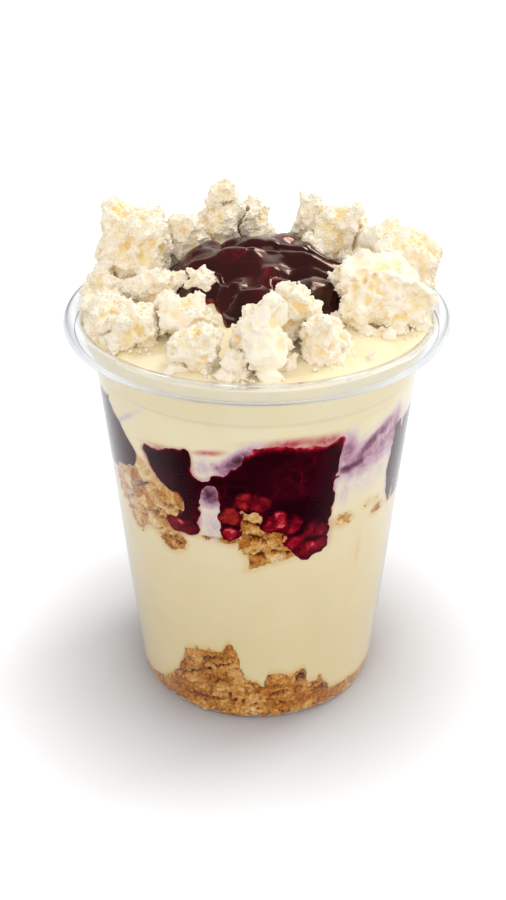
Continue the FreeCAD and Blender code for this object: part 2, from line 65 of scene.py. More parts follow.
def placed(name, data):
    """A new object in the scene."""
    piece = bpy.data.objects.new(name, data)
    bpy.context.scene.collection.objects.link(piece)
    return piece


camera_data = bpy.data.cameras.new("camera")
camera_data.lens = 51.876
camera_data.sensor_width = 36.0
camera_data.shift_x = -0.0043
camera_data.clip_start = 0.01
camera_data.clip_end = 20.0
camera = placed("camera", camera_data)
tilt = math.radians(LOOK_DOWN)
camera.location = Vector((0, -DISTANCE * math.cos(tilt), AIM_HEIGHT + DISTANCE * math.sin(tilt))) * MM
camera.rotation_euler = (math.pi / 2 - tilt, 0, 0)
bpy.context.scene.camera = camera
bpy.context.scene.view_settings.view_transform = "Standard"
print("camera stands at", [round(v, 4) for v in camera.location])

# %% [markdown]
# ## Helpers for node trees
# Materials and Geometry Nodes are both trees of nodes. One function adds any node with its
# settings and its inputs, and returns one of its outputs. An output can be added, multiplied and
# remapped like a number, and each such step adds its own node, so a tree reads like a formula.
# Colours are written as sRGB hex values and turned to the linear values that the renderer needs.

# %% Node helpers
def linear(hex_colour):
    """An sRGB colour such as E5D7B7 as linear red, green, blue and alpha."""
    parts = [int(hex_colour[index : index + 2], 16) / 255 for index in (0, 2, 4)]
    return tuple(p / 12.92 if p <= 0.04045 else ((p + 0.055) / 1.055) ** 2.4 for p in parts) + (1.0,)


def add(tree, kind, inputs=None, output=0, **settings):
    """Adds a node and returns one output; inputs maps sockets to values or to outputs."""
    node = tree.nodes.new(kind)
    for key, value in settings.items():
        setattr(node, key, value)
    for key, value in (inputs or {}).items():
        if isinstance(value, Output):
            tree.links.new(value.socket, node.inputs[key])
        else:
            node.inputs[key].default_value = value
    return Output(node.outputs[output]) if len(node.outputs) else None


# %% What can follow an output
class Output:
    """A node's output, a number or a vector, with the steps that can follow it."""

    def __init__(self, socket):
        self.socket, self.tree = socket, socket.id_data
        self.is_vector = socket.type in ("VECTOR", "RGBA")

    def __getitem__(self, name):
        """Another output of the same node."""
        return Output(self.socket.node.outputs[name])

    def maths(self, operation, *values, output=0):
        kind = "ShaderNodeVectorMath" if self.is_vector else "ShaderNodeMath"
        keys = (0, "Scale") if operation == "SCALE" else (0, 1)
        return add(self.tree, kind, dict(zip(keys, (self, *values))), output, operation=operation)

    def __add__(self, other):
        return self.maths("ADD", other)

    def __sub__(self, other):
        return self.maths("SUBTRACT", other)

    def __mul__(self, other):
        return self.maths("SCALE" if self.is_vector else "MULTIPLY", other)

    def part(self, number):
        """The x, y or z of a vector."""
        return add(self.tree, "ShaderNodeSeparateXYZ", {0: self}, number)

    def ranged(self, low, high, to_low=0.0, to_high=1.0):
        """Maps low..high to another range, clamped."""
        return add(self.tree, "ShaderNodeMapRange", dict(enumerate((self, low, high, to_low, to_high))))

    def blended(self, low, high):
        """A mix of two colours, each a hex value or an output."""
        low, high = [linear(colour) if isinstance(colour, str) else colour for colour in (low, high)]
        return add(self.tree, "ShaderNodeMix", {0: self, 6: low, 7: high}, 2, data_type="RGBA")

    def ramp(self, stops):
        """A colour ramp through {position: hex value}, from 0 to 1."""
        colour = add(self.tree, "ShaderNodeValToRGB", {"Fac": self})
        elements = colour.socket.node.color_ramp.elements
        elements[0].color, elements[1].color = linear(stops[0]), linear(stops[1])
        for position in sorted(stops)[1:-1]:
            elements.new(position).color = linear(stops[position])
        return colour

    def bump(self, strength, height):
        """A bumped normal, its height in mm."""
        inputs = {"Height": self, "Strength": strength, "Distance": height * MM}
        return add(self.tree, "ShaderNodeBump", inputs)

    def texture(self, kind, size, settings, **inputs):
        """A texture whose features have a size in metres, which is a number or an output."""
        scale = 1 / size if isinstance(size, float) else add(
            self.tree, "ShaderNodeMath", {0: 1.0, 1: size}, operation="DIVIDE")
        return add(self.tree, kind, {"Vector": self, "Scale": scale, **inputs}, **settings)

    def noise(self, size, detail=2.0, roughness=0.5, distortion=0.0):
        inputs = {"Detail": detail, "Roughness": roughness, "Distortion": distortion}
        return self.texture("ShaderNodeTexNoise", size, {}, **inputs)

    def cells(self, size, feature="F1", detail=0.0):
        """Voronoi cells."""
        return self.texture("ShaderNodeTexVoronoi", size, {"feature": feature}, Detail=detail)


# %% Material helpers
def stored(tree, name):
    """A number that is stored on the mesh under a name."""
    if tree.type == "SHADER":
        return add(tree, "ShaderNodeAttribute", output="Fac", attribute_name=name)
    return add(tree, "GeometryNodeInputNamedAttribute", {"Name": name}, data_type="FLOAT")


def new_material(name):
    """A material, its tree, and the place of each point in metres."""
    material = bpy.data.materials.new(name)
    material.use_nodes = True
    tree = material.node_tree
    tree.nodes.clear()
    return material, tree, add(tree, "ShaderNodeTexCoord", output="Object")


def finished(material, shader):
    add(material.node_tree, "ShaderNodeOutputMaterial", {"Surface": shader})
    return material


def surface(material, colour, roughness, ior, normal, **more):
    """Ends a material in a Principled shader; in the names of more sockets _ stands for a space."""
    inputs = {"Base Color": colour, "Roughness": roughness, "IOR": ior, "Normal": normal}
    inputs.update({label.replace("_", " "): value for label, value in more.items()})
    return finished(material, add(material.node_tree, "ShaderNodeBsdfPrincipled", inputs))


# %% [markdown]
# ## Clear plastic
# The cup is clear PET sheet, drawn over a mould while warm. It is smooth and glossy with an IOR of
# about 1.57, and it ripples very slightly as it is drawn, which breaks up its highlights. One
# Glass shader would do, but in a white room its mirror image of the walls veils the dessert, so
# the part that bends light and the part that mirrors it are mixed here by a Fresnel share that
# starts near nothing where the sheet is seen straight on. The rolled rim is stretched most and has
# a little haze. Lamps and the dessert's own light have to pass the sheet, so rays that test for
# shadow or carry diffuse light go straight on.

# %% Clear PET
PET_IOR = 1.57
PET_RIPPLE = 14.0
STRAIGHT_ON, EDGE_ON = 0.058, 0.8
CURL_HAZE = 0.07
HAZE_START, HAZE_END = 0.101, 0.105


def clear_pet():
    material, tree, place = new_material("clear_pet_thermoformed")
    stretched = add(tree, "ShaderNodeMapping", {"Vector": place, "Scale": (1, 1, 0.45)})
    ripple = stretched.noise(PET_RIPPLE * MM)
    tint = ripple.blended("F6F8FA", "FFFFFF")
    bent = {"IOR": PET_IOR, "Normal": ripple.bump(0.35, 0.12)}
    bend = add(tree, "ShaderNodeBsdfRefraction", {"Color": tint, "Roughness": 0.0, **bent})
    mirror = {"Color": tint, "Roughness": 0.04, "Normal": bent["Normal"]}
    mirror = add(tree, "ShaderNodeBsdfAnisotropic", mirror)
    share = add(tree, "ShaderNodeFresnel", bent).ranged(STRAIGHT_ON, EDGE_ON)
    haze = place.part(2).ranged(HAZE_START, HAZE_END, 0.0, CURL_HAZE)
    milky = add(tree, "ShaderNodeBsdfDiffuse", {"Color": linear("F1F3F6")})
    sheet = add(tree, "ShaderNodeMixShader", {0: haze, 1: bend, 2: milky})
    sheet = add(tree, "ShaderNodeMixShader", {0: share, 1: sheet, 2: mirror})
    path = add(tree, "ShaderNodeLightPath")
    for ray in ("Is Diffuse Ray", "Is Shadow Ray"):
        clear = add(tree, "ShaderNodeBsdfTransparent")
        sheet = add(tree, "ShaderNodeMixShader", {0: path[ray], 1: sheet, 2: clear})
    return finished(material, sheet)


CLEAR_PET = clear_pet()
print("made", CLEAR_PET.name)

# %% [markdown]
# ## The cup
# The cup is one turned shell: a raised floor, a flat foot ring, a rounded corner, a cone, a small
# ledge under the neck, and a rim that curls over and under. Blender's Screw modifier could turn
# it, but a sheet has the same thickness everywhere, so here its middle line is drawn once with
# its corners rounded, both faces are set off from it, and the closed outline is turned.

# %% Cup sizes
cup_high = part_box("cup")[1]
RIM_RADIUS = round(cup_high.x / MM, 1)
CUP_HEIGHT = round(cup_high.z / MM, 1)
BASE_RADIUS = 33.0
NECK_RADIUS = RIM_RADIUS - 7.4
LEDGE_LEVEL = CUP_HEIGHT - 13.4
LEDGE_STEP = 0.5
SHEET = 0.6
BEAD = 2.6
CURL_UNDER = 100.0
BASE_CORNER = 2.5
FOOT_RADIUS = BASE_RADIUS - BASE_CORNER
FOOT_WIDTH = 4.5
FOOT_RECESS = 1.2
RECESS_SLOPE = 1.0
CURL_RADIUS = RIM_RADIUS - BEAD
CURL_LEVEL = CUP_HEIGHT - BEAD
FILL_LEVEL = CUP_HEIGHT - 2.8
CONE_SLOPE = (NECK_RADIUS - BASE_RADIUS) / LEDGE_LEVEL
print("rim", RIM_RADIUS, "height", CUP_HEIGHT, "neck", round(NECK_RADIUS, 2), "at", round(LEDGE_LEVEL, 1))

# %% Turned shapes
CUP_TURNS = 256


def rounded(corners, steps=6):
    """A path through (radius, level, fillet) corners, each fillet drawn as a short curve."""
    path = [corners[0][:2]]
    for before, corner, after in zip(corners, corners[1:], corners[2:]):
        here = np.array(corner[:2])
        back, on = np.array(before[:2]) - here, np.array(after[:2]) - here
        start = here + back / np.linalg.norm(back) * corner[2]
        end = here + on / np.linalg.norm(on) * corner[2]
        for share in np.linspace(0, 1, steps if corner[2] else 1):
            path.append(tuple(start * (1 - share) ** 2 + here * 2 * share * (1 - share) + end * share**2))
    path.append(corners[-1][:2])
    return np.array(path)


def mesh_piece(name, points, faces, material, smooth=True):
    """A mesh object from points in millimetres."""
    mesh = bpy.data.meshes.new(name)
    mesh.from_pydata((np.asarray(points) * MM).tolist(), [], faces)
    mesh.polygons.foreach_set("use_smooth", [smooth] * len(mesh.polygons))
    mesh.materials.append(material)
    mesh.update()
    return placed(name, mesh)


def ring_faces(rings, columns):
    """Quads between closed rings of points, facing away from the axis where the rings climb."""
    grid = np.arange(rings * columns).reshape(rings, columns)
    beside = np.roll(grid, -1, axis=1)
    return np.stack([grid[:-1], beside[:-1], beside[1:], grid[1:]], axis=-1).reshape(-1, 4).tolist()


def closed_body(name, points, material):
    """A closed body from rings of points round the axis, the lowest or innermost ring first."""
    rings, columns = points.shape[:2]
    count = rings * columns
    poles = [points[0].mean(axis=0), points[-1].mean(axis=0)]
    faces = ring_faces(rings, columns)
    for column in range(columns):
        beside = (column + 1) % columns
        faces.append((count, beside, column))
        faces.append((count + 1, count - columns + column, count - columns + beside))
    return mesh_piece(name, np.vstack([points.reshape(-1, 3), poles]), faces, material)


def around(radius, azimuths, levels):
    """Points at radii, azimuths in degrees from the front, and levels, as rows and columns."""
    turn = np.radians(azimuths)
    parts = np.broadcast_arrays(radius * np.sin(turn), -radius * np.cos(turn), levels)
    return np.stack(parts, axis=-1)


# %% Cup
def cup_outline():
    """The closed section of the sheet: underside and outside first, then back down the inside."""
    half = SHEET / 2
    foot_inside = FOOT_RADIUS - FOOT_WIDTH
    path = rounded([
        (0, FOOT_RECESS + half, 0),
        (foot_inside - RECESS_SLOPE, FOOT_RECESS + half, 0.5),
        (foot_inside, half, 0.5),
        (BASE_RADIUS - half, half, BASE_CORNER - half),
        (NECK_RADIUS - half, LEDGE_LEVEL, 0.12),
        (NECK_RADIUS + LEDGE_STEP - half, LEDGE_LEVEL + LEDGE_STEP, 0.12),
        (CURL_RADIUS - BEAD + half, CURL_LEVEL, 0),
    ])
    angles = np.radians(np.linspace(180, -CURL_UNDER, 44))[1:]
    curl = np.stack([np.cos(angles), np.sin(angles)], axis=1) * (BEAD - half)
    path = np.vstack([path, curl + (CURL_RADIUS, CURL_LEVEL)])
    along = np.gradient(path, axis=0)
    along /= np.linalg.norm(along, axis=1, keepdims=True)
    across = np.stack([along[:, 1], -along[:, 0]], axis=1) * half
    across[0] = (0, -half)
    tip = path[-1:] + along[-1:] * half * 0.8
    return np.vstack([path + across, tip, (path - across)[::-1]])


rings = cup_outline()[1:-1]
cup_points = around(rings[:, :1], np.arange(CUP_TURNS) * 360 / CUP_TURNS, rings[:, 1:])
cup = closed_body("clear_cup", cup_points, CLEAR_PET)
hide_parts("cup")
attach(cup, "root")
print("cup:", len(cup.data.polygons), "faces, top at", round(max(v.co.z for v in cup.data.vertices) / MM, 2))

# %% [markdown]
# ## What the layers share
# Everything in the cup is pressed against its wall, so each layer is drawn on the unrolled wall:
# azimuth runs round the cup from the front, and level runs up. Every layer is a closed body that
# fills the bore. Where the layer shows, its skin reaches a little into the wall, and elsewhere it
# dives inside the cream, so the eye sees the edge where the two skins cross. Edges drawn this way
# can drip, fold and break up as freely as real ones.

# %% The unrolled wall
BORE_LEVELS = (BASE_CORNER, LEDGE_LEVEL, LEDGE_LEVEL + LEDGE_STEP, CURL_LEVEL)
BORE_RADII = (
    BASE_RADIUS + BASE_CORNER * CONE_SLOPE - SHEET,
    NECK_RADIUS - SHEET,
    NECK_RADIUS + LEDGE_STEP - SHEET,
    CURL_RADIUS - BEAD,
)
FRONT = 70.0
WALL_RADIUS = 38.0
# One degree of azimuth in mm at the wall.
DEGREE = math.radians(1) * WALL_RADIUS


def bore(levels):
    """The radius of the cup's inside at each level, its rounded base corner included."""
    levels = np.asarray(levels, dtype=float)
    radius = np.interp(levels, BORE_LEVELS, BORE_RADII)
    corner = BASE_CORNER - SHEET
    drop = np.clip(BASE_CORNER - levels, 0, corner)
    return radius - (corner - np.sqrt(np.maximum(corner**2 - drop**2, 0)))


def wall_azimuths(front_step, back_step):
    """Azimuths all round in degrees, closer together over the front."""
    front = np.arange(-FRONT, FRONT, math.degrees(front_step / WALL_RADIUS))
    count = round(math.radians(360 - 2 * FRONT) * WALL_RADIUS / back_step)
    return np.concatenate([front, np.linspace(FRONT, 360 - FRONT, count)[:-1]])


def apart(azimuths, azimuth=0.0):
    """Degrees from one azimuth to others, the short way round."""
    return (azimuths - azimuth + 180) % 360 - 180


# %% Noise, lines and levels on the wall
def mottle(points, grain, seed):
    """Smooth noise from about -1 to 1, its lumps one grain across."""
    chance = np.random.default_rng(seed)
    lattice = chance.uniform(-1, 1, (32, 32, 32))
    place = np.asarray(points) / grain + chance.uniform(0, 32, 3)
    base = np.floor(place).astype(int)
    part = place - base
    part = part * part * (3 - 2 * part)
    total = np.zeros(place.shape[:-1])
    # Each of the eight corners of a lattice cell counts by how near it is.
    for corner in np.ndindex(2, 2, 2):
        index = (base + corner) % 32
        weight = np.prod(np.where(corner, part, 1 - part), axis=-1)
        total += weight * lattice[index[..., 0], index[..., 1], index[..., 2]]
    return total * 1.6


def soft_step(values, low, high):
    """From 0 at low to 1 at high, eased at both ends."""
    share = np.clip((values - low) / (high - low), 0, 1)
    return share * share * (3 - 2 * share)


def smoothed(outline, rounds=2):
    """Cuts the corners of a closed outline so that it runs smoothly."""
    points = np.array(outline, dtype=float)
    for _ in range(rounds):
        after = np.roll(points, -1, axis=0)
        points = np.stack([0.75 * points + 0.25 * after, 0.25 * points + 0.75 * after], axis=1)
        points = points.reshape(-1, 2)
    return points


def from_line(x, y, start, end):
    """The distance of points from the straight line between two others."""
    (x0, y0), (dx, dy) = start, np.subtract(end, start)
    share = np.clip(((x - x0) * dx + (y - y0) * dy) / (dx * dx + dy * dy), 0, 1)
    return np.hypot(x - x0 - share * dx, y - y0 - share * dy)


def depth_inside(azimuths, levels, outline):
    """How far each point of the wall lies inside a closed outline, in mm; negative outside."""
    x, y = np.broadcast_arrays(azimuths * DEGREE, levels)
    nearest, inside = np.full(x.shape, 1e9), np.zeros(x.shape, dtype=bool)
    points = smoothed(outline) * (DEGREE, 1)
    for start, end in zip(points, np.roll(points, -1, axis=0)):
        nearest = np.minimum(nearest, from_line(x, y, start, end))
        crossing = (end[0] - start[0]) * (y - start[1]) / ((end[1] - start[1]) or 1e-9) + start[0]
        inside ^= ((start[1] > y) != (end[1] > y)) & (x < crossing)
    return np.where(inside, nearest, -nearest)


def station_level(azimuths, stations):
    """A level all round from (azimuth, level) stations, eased from each to the next."""
    places = np.array(sorted((azimuth % 360, level) for azimuth, level in stations))
    wrapped = np.vstack([places[-1:] - (360, 0), places, places[:1] + (360, 0)])
    azimuths = np.asarray(azimuths) % 360
    index = np.clip(np.searchsorted(wrapped[:, 0], azimuths) - 1, 0, len(wrapped) - 2)
    start, end = wrapped[index], wrapped[index + 1]
    share = soft_step(azimuths, start[..., 0], end[..., 0])
    return start[..., 1] * (1 - share) + end[..., 1] * share


# %% Bodies on the wall
def wall_body(name, azimuths, rows, reach, material, cap=None):
    """A closed body of rows up the wall, reach beyond the bore, with an optional cap of rings."""
    points = around(bore(rows) + reach, azimuths, rows)
    if cap is not None:
        points = np.concatenate([points, cap], axis=0)
    return closed_body(name, points, material)


def give_attribute(piece, name, values):
    """Stores one number per point; the poles take the average."""
    flat = np.asarray(values, dtype=np.float32).reshape(-1)
    whole = np.full(len(piece.data.vertices), flat.mean(), dtype=np.float32)
    whole[: len(flat)] = flat
    piece.data.attributes.new(name, "FLOAT", "POINT").data.foreach_set("value", whole)


print("bore at the floor, ledge and fill:", bore((2.5, LEDGE_LEVEL, FILL_LEVEL)).round(2))

# %% [markdown]
# ## Where the layers run
# The edges of the layers are what makes this dessert, so they are given as outlines on the
# unrolled wall, each with only the points that its shape needs. Round the back the layers run on
# between a lower and an upper edge, given at a few stations.

# %% Outlines of the layers (azimuth in degrees, level in mm)
CRUMB_BASE_EDGE = (
    (-66, 5), (-52, 7), (-45, 10), (-39, 14), (-36, 18), (-32, 23.5), (-25, 24.5), (-16, 25), (-12, 28.5),
    (-9, 25.5), (-7.5, 20), (-5, 16), (-1, 15), (3, 13.5), (5, 18), (10, 18), (15, 17), (22, 18.5),
    (23, 13), (28, 12.5), (30, 13.5), (33, 11), (37, 7.5), (47, 7), (58, 6.5), (75, 8), (95, 12), (120, 16),
    (150, 13), (180, 7), (210, 15), (235, 17), (262, 11), (280, 6),
)
CRUMBS_LEFT = (
    (-70, 70), (-60, 74), (-53, 76), (-48, 79.5), (-44, 80.5), (-40, 77), (-34, 75), (-26, 73), (-26, 66),
    (-31, 62.5), (-26, 59.5), (-27, 56.5), (-32, 54), (-38, 53.5), (-41, 57.5), (-46, 59), (-50, 55),
    (-57, 56), (-61, 61), (-68, 64),
)
CRUMBS_THIN = ((-28, 62), (-20, 63), (-12, 63), (-6, 65), (-6, 59.6), (-14, 59.8), (-21, 60.8))
CRUMBS_CENTRE = (
    (-9, 63), (-9, 69), (-4, 73), (1, 75), (6, 71), (10, 67), (15, 64), (17, 60), (20, 57), (12, 54.6),
    (5, 54), (0, 52.4), (-6, 51.6), (-3.5, 55), (-6.5, 58),
)
CRUMB_MIDDLE_UNDERSIDE = (
    (-66, 63), (-90, 59), (-120, 56), (-150, 57), (180, 60), (150, 54), (120, 57), (92, 58), (66, 61),
)
CRUMB_MIDDLE_TOP = (
    (-66, 70), (-90, 70), (-120, 73), (-150, 68), (180, 71), (150, 66), (120, 72), (92, 67), (66, 62.5),
)
# Each fleck: azimuth, level, half width and half height in mm.
CRUMB_FLECKS = ((33.5, 64.2, 3, 2), (53, 62.5, 2.6, 1.8), (46, 66, 1.4, 1), (51, 65.8, 1.2, 0.9))
COMPOTE_LEFT = (
    (-45, 84), (-36, 85), (-28, 86.6), (-23.6, 87), (-22.8, 83.5), (-22.5, 80), (-19, 79), (-15.5, 80.5),
    (-11, 82), (-11, 76.5), (-16, 77.6), (-20.4, 76.6), (-20.8, 70), (-21, 64.5), (-24, 61.4), (-30, 61.6),
    (-33, 61.8), (-34, 64), (-31, 66.4), (-27.2, 68), (-26.8, 71), (-30, 73), (-36, 74.4), (-40, 77),
    (-43, 81),
)
COMPOTE_CENTRE = (
    (-15, 78), (-12, 81), (-7, 83.6), (-3, 87.6), (-0.5, 89.8), (5, 90.2), (15, 89.2), (24, 88.2),
    (28.6, 89.4), (30.4, 90), (30, 82), (28.6, 75), (27.8, 68), (26.4, 61), (24, 57.4), (20, 55.4),
    (15.5, 57.2), (12, 60), (10.5, 63.4), (6, 64.6), (3, 67), (1.5, 71), (-2, 73.4), (-6, 72), (-6.4, 66),
    (-8, 62.4), (-12.4, 61.6), (-13.2, 66), (-13, 72),
)
COMPOTE_SLIVER = (
    (57.4, 86), (61, 86.4), (64.5, 85), (65, 70), (63, 61), (60.5, 62), (57.6, 67), (56.6, 73), (58, 79),
)
COMPOTE_FAR_LEFT = (
    (-46.5, 79), (-51, 82), (-56, 85.5), (-62, 90), (-69, 92.6), (-75, 92), (-75, 70), (-60, 73.4),
    (-53, 75.8),
)
COMPOTE_UNDERSIDE = (
    (-70, 71), (-90, 69), (-120, 72), (-150, 67), (180, 70), (150, 65), (120, 71), (90, 66), (66, 61.5),
)
COMPOTE_TOP_EDGE = (
    (-70, 92), (-90, 89), (-120, 85), (-150, 87), (180, 89), (150, 84), (120, 88), (90, 90), (66, 86),
)
BEHIND = 64.0


def layer_depth(azimuths, levels, outlines, underside, top):
    """How far points lie inside a layer: in its outlines in front, between its edges behind."""
    depths = [depth_inside(azimuths, levels, outline) for outline in outlines]
    between = np.minimum(
        station_level(azimuths, top) - levels, levels - station_level(azimuths, underside)
    )
    depths.append(np.minimum(between, (np.abs(apart(azimuths)) - BEHIND) * DEGREE))
    return np.max(depths, axis=0)


def compote_depth(azimuths, levels):
    outlines = (COMPOTE_LEFT, COMPOTE_CENTRE, COMPOTE_SLIVER, COMPOTE_FAR_LEFT)
    return layer_depth(azimuths, levels, outlines, COMPOTE_UNDERSIDE, COMPOTE_TOP_EDGE)


def crumb_middle_depth(azimuths, levels):
    outlines = (CRUMBS_LEFT, CRUMBS_THIN, CRUMBS_CENTRE)
    depth = layer_depth(azimuths, levels, outlines, CRUMB_MIDDLE_UNDERSIDE, CRUMB_MIDDLE_TOP)
    for azimuth, level, half_width, half_height in CRUMB_FLECKS:
        away = np.hypot((azimuths - azimuth) * DEGREE / half_width, (levels - level) / half_height)
        depth = np.maximum(depth, (1.2 - away) * half_height)
    return depth


def crumb_base_depth(azimuths, levels):
    return (station_level(azimuths, CRUMB_BASE_EDGE) - levels) * 0.7


def crumb_depth(azimuths, levels):
    """How far points lie inside either layer of crumbs."""
    return np.maximum(crumb_middle_depth(azimuths, levels), crumb_base_depth(azimuths, levels))


print("outlines:", len(COMPOTE_LEFT) + len(COMPOTE_CENTRE), "points for the compote at the front")

# %% [markdown]
# ## Vanilla cream
# The cream is custard folded into whipped cream: dense, smooth, matt to satin, and pale yellow.
# Light goes a few millimetres into it, which softens every shadow, so its shader has subsurface
# scattering. Beside the compote it has taken up juice: violet where the juice is spread thin over
# fat, pink where it is fresh. Those stains are numbers stored on the mesh, broken up by noise.

# %% Cream material
CREAM_MOTTLE = 11.0
STREAK_SIZE, STREAK_REACH = 3.0, 0.6
CREAM_COLOURS = ("F6E6BE", "F9EBC8")
# The first colour below is a painted shade for the lower cream; the other two are stains.
LOWER_CREAM_PAINTED_SHADE, YELLOWED, FRESH_JUICE = "E2CF9E", "E4BA66", "C2485A"
SPREAD_JUICE = {0: "F1E6DD", 0.22: "DFC9CB", 0.45: "C292A6", 0.68: "8C546F", 1: "480F28"}


def vanilla_cream():
    material, tree, place = new_material("whipped_vanilla_cream")
    cloudy = place.noise(CREAM_MOTTLE * MM, 3.0)
    streaks = place.noise(STREAK_SIZE * MM, 6.0, 0.6, 1.2)
    base = cloudy.ranged(0.35, 0.65).blended(*CREAM_COLOURS)
    # Painted shade: the cream is darker and yellower lower down, where less light reaches it.
    base = place.part(2).ranged(0.028, 0.078, 0.75, 0.0).blended(base, LOWER_CREAM_PAINTED_SHADE)
    base = stored(tree, "yellow").blended(base, YELLOWED)
    swing = streaks.ranged(0.3, 0.7, -STREAK_REACH / 2, STREAK_REACH / 2)
    amounts = stored(tree, "pink"), stored(tree, "violet")
    pink, violet = [(amount * swing + amount).ranged(0.05, 1.0) for amount in amounts]
    base = pink.blended(base, FRESH_JUICE)
    base = violet.ranged(0.0, 0.25).blended(base, violet.ramp(SPREAD_JUICE))
    return surface(
        material, base, 0.42, 1.45, cloudy.bump(0.15, 0.3), Subsurface_Weight=0.35,
        Subsurface_Scale=1.6 * MM, Subsurface_Radius=(1.0, 0.7, 0.4),
    )


CREAM = vanilla_cream()

# %% [markdown]
# ## The two creams
# The lower cream fills the cup between the two layers of crumbs, and the upper one goes up to the
# rim and swells under the toppings. At the wall both are the same skin, so the compote and the
# crumbs between them show only where they break through it.

# %% Stains at the wall
CREAM_REACH = 0.10
CREAM_DIVE = 4.0
CREAM_STEP, CREAM_BACK_STEP = 0.6, 1.2
SEAM_LEVEL = 72.0
# Each stain: azimuth, level, half width and half height in mm, slope, strength.
VIOLET_STAINS = (
    (-18.5, 82.6, 2.8, 3, 0, 0.3), (-12, 82.6, 2.6, 1.6, -0.4, 0.62), (-7, 85.4, 3.8, 2.2, 0.7, 0.88),
    (-3, 87.8, 2.4, 1.2, 0.6, 0.45), (-16.6, 66, 2.8, 5, 0, 0.3), (-16.6, 75, 2.8, 3, 0, 0.92),
    (-54, 88.5, 7, 1, 0.75, 0.3), (33, 79.8, 2.2, 1.2, -0.12, 1), (37, 80.4, 3.8, 1.3, 0.25, 0.86),
    (38, 81.6, 4.6, 3, 0.45, 0.58), (43, 84.8, 3.4, 1.8, 0.55, 0.88), (33, 85, 2.6, 4.4, 0, 0.58),
    (45, 82, 13, 5, 0.15, 0.5), (46, 75.5, 13, 4.6, 0.1, 0.2), (50, 87, 4, 2.2, 0.5, 0.62),
    (50, 80, 6, 3.4, 0.3, 0.36), (55, 84.5, 2.6, 3.4, 0, 0.52), (33, 73, 2.2, 4.6, 0, 0.24),
    (44, 77, 6, 1.6, -0.1, 0.2), (58, 74, 1.4, 7, 0, 0.4), (58, 85, 1.8, 5, 0, 0.66),
)
PINK_STAINS = (
    (-16.5, 87.2, 3, 0.6, 0.16, 1), (12, 90.3, 7, 1.1, 0, 0.95), (23, 89.6, 4.6, 1.4, 0, 1),
    (57, 87.5, 2.4, 1.6, 0.4, 0.6), (-34, 86, 6, 0.5, 0.12, 0.45), (-12, 61.4, 3, 0.6, -0.05, 0.55),
    (28, 62, 1, 4, 0, 0.35),
)
YELLOW_STAINS = ((41, 49, 2, 11, 0, 0.14), (43.5, 52, 0.8, 5, 0, 0.42), (46, 93.5, 4, 0.8, 0.1, 0.16))
JUICE_BLEED = 0.4
CRUMB_BLEED = 0.35


def stained(azimuths, levels, stains):
    """The strongest of some soft slanting blots at each point of the wall."""
    total = np.zeros(np.broadcast(azimuths, levels).shape)
    for azimuth, level, half_width, half_height, slope, strength in stains:
        across = apart(azimuths, azimuth) * DEGREE
        rise = levels - level - slope * across
        away = (across / half_width) ** 2 + (rise / half_height) ** 2
        total = np.maximum(total, strength * np.exp(-away / 1.6))
    return total


def stain_cream(piece, azimuths, rows, rings):
    """Stores the stains on a cream, with none on its top rings."""
    grid = azimuths[None, :]
    bleed = 0.8 * np.exp(-np.maximum(-compote_depth(grid, rows), 0) / JUICE_BLEED)
    browned = 0.4 * np.exp(-np.maximum(-crumb_depth(grid, rows), 0) / CRUMB_BLEED)
    wall = {
        "violet": stained(grid, rows, VIOLET_STAINS),
        "pink": np.maximum(stained(grid, rows, PINK_STAINS), bleed),
        "yellow": np.maximum(stained(grid, rows, YELLOW_STAINS), browned),
    }
    for name, values in wall.items():
        give_attribute(piece, name, np.vstack([values, np.zeros((rings, len(azimuths)))]))


# %% Cream pieces
SWELL = 10.5
SWELL_WIDTH, SWELL_LENGTH, SWELL_BACK = 22.0, 18.0, 13.0


def cream_surface(x, y):
    """The cream's top: level with the rim at the wall, and swelling towards the middle back."""
    share = np.minimum(np.hypot(x, y) / bore(FILL_LEVEL), 1.0)
    swell = SWELL * np.exp(-((x / SWELL_WIDTH) ** 2 + ((y - SWELL_BACK) / SWELL_LENGTH) ** 2) / 2)
    return FILL_LEVEL + swell * (1 - share**4)


def cream_top(azimuths):
    """Rings of the cream's top, from just inside the wall to the middle, softly uneven."""
    shares = np.linspace(0.995, 0.02, 64)[:, None]
    points = around(shares * (bore(FILL_LEVEL) + CREAM_REACH), azimuths, 0.0)
    uneven = 0.45 * mottle(points, 9.0, 3) + 0.18 * mottle(points, 3.2, 4)
    level = cream_surface(points[..., 0], points[..., 1])
    points[..., 2] = level + uneven * soft_step(1 - shares, 0.0, 0.06)
    return points


def cream_reach(azimuths, rows):
    """The cream's skin at the wall, which dives well inside the masses of crumbs."""
    return CREAM_REACH - CREAM_DIVE * soft_step(crumb_depth(azimuths[None, :], rows), 0.9, 2.2)


cream_azimuths = wall_azimuths(CREAM_STEP, CREAM_BACK_STEP)
lower_rows = np.arange(3.0, SEAM_LEVEL + 0.9, CREAM_STEP)[:, None]
lower_reach = cream_reach(cream_azimuths, lower_rows) - 0.004
cream_lower = wall_body("cream_lower_layer", cream_azimuths, lower_rows, lower_reach, CREAM)
stain_cream(cream_lower, cream_azimuths, lower_rows, 0)
upper_rows = np.append(np.arange(SEAM_LEVEL, FILL_LEVEL, CREAM_STEP), FILL_LEVEL)[:, None]
top_rings = cream_top(cream_azimuths)
upper_reach = cream_reach(cream_azimuths, upper_rows)
cream_upper = wall_body("cream_upper_layer", cream_azimuths, upper_rows, upper_reach, CREAM, top_rings)
stain_cream(cream_upper, cream_azimuths, upper_rows, len(top_rings))
for piece, node in ((cream_lower, "cream_lower"), (cream_upper, "cream_upper")):
    piece.data.set_sharp_from_angle(angle=math.radians(60))
    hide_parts(node)
    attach(piece, "root")
    print(piece.name, len(piece.data.polygons), "faces")

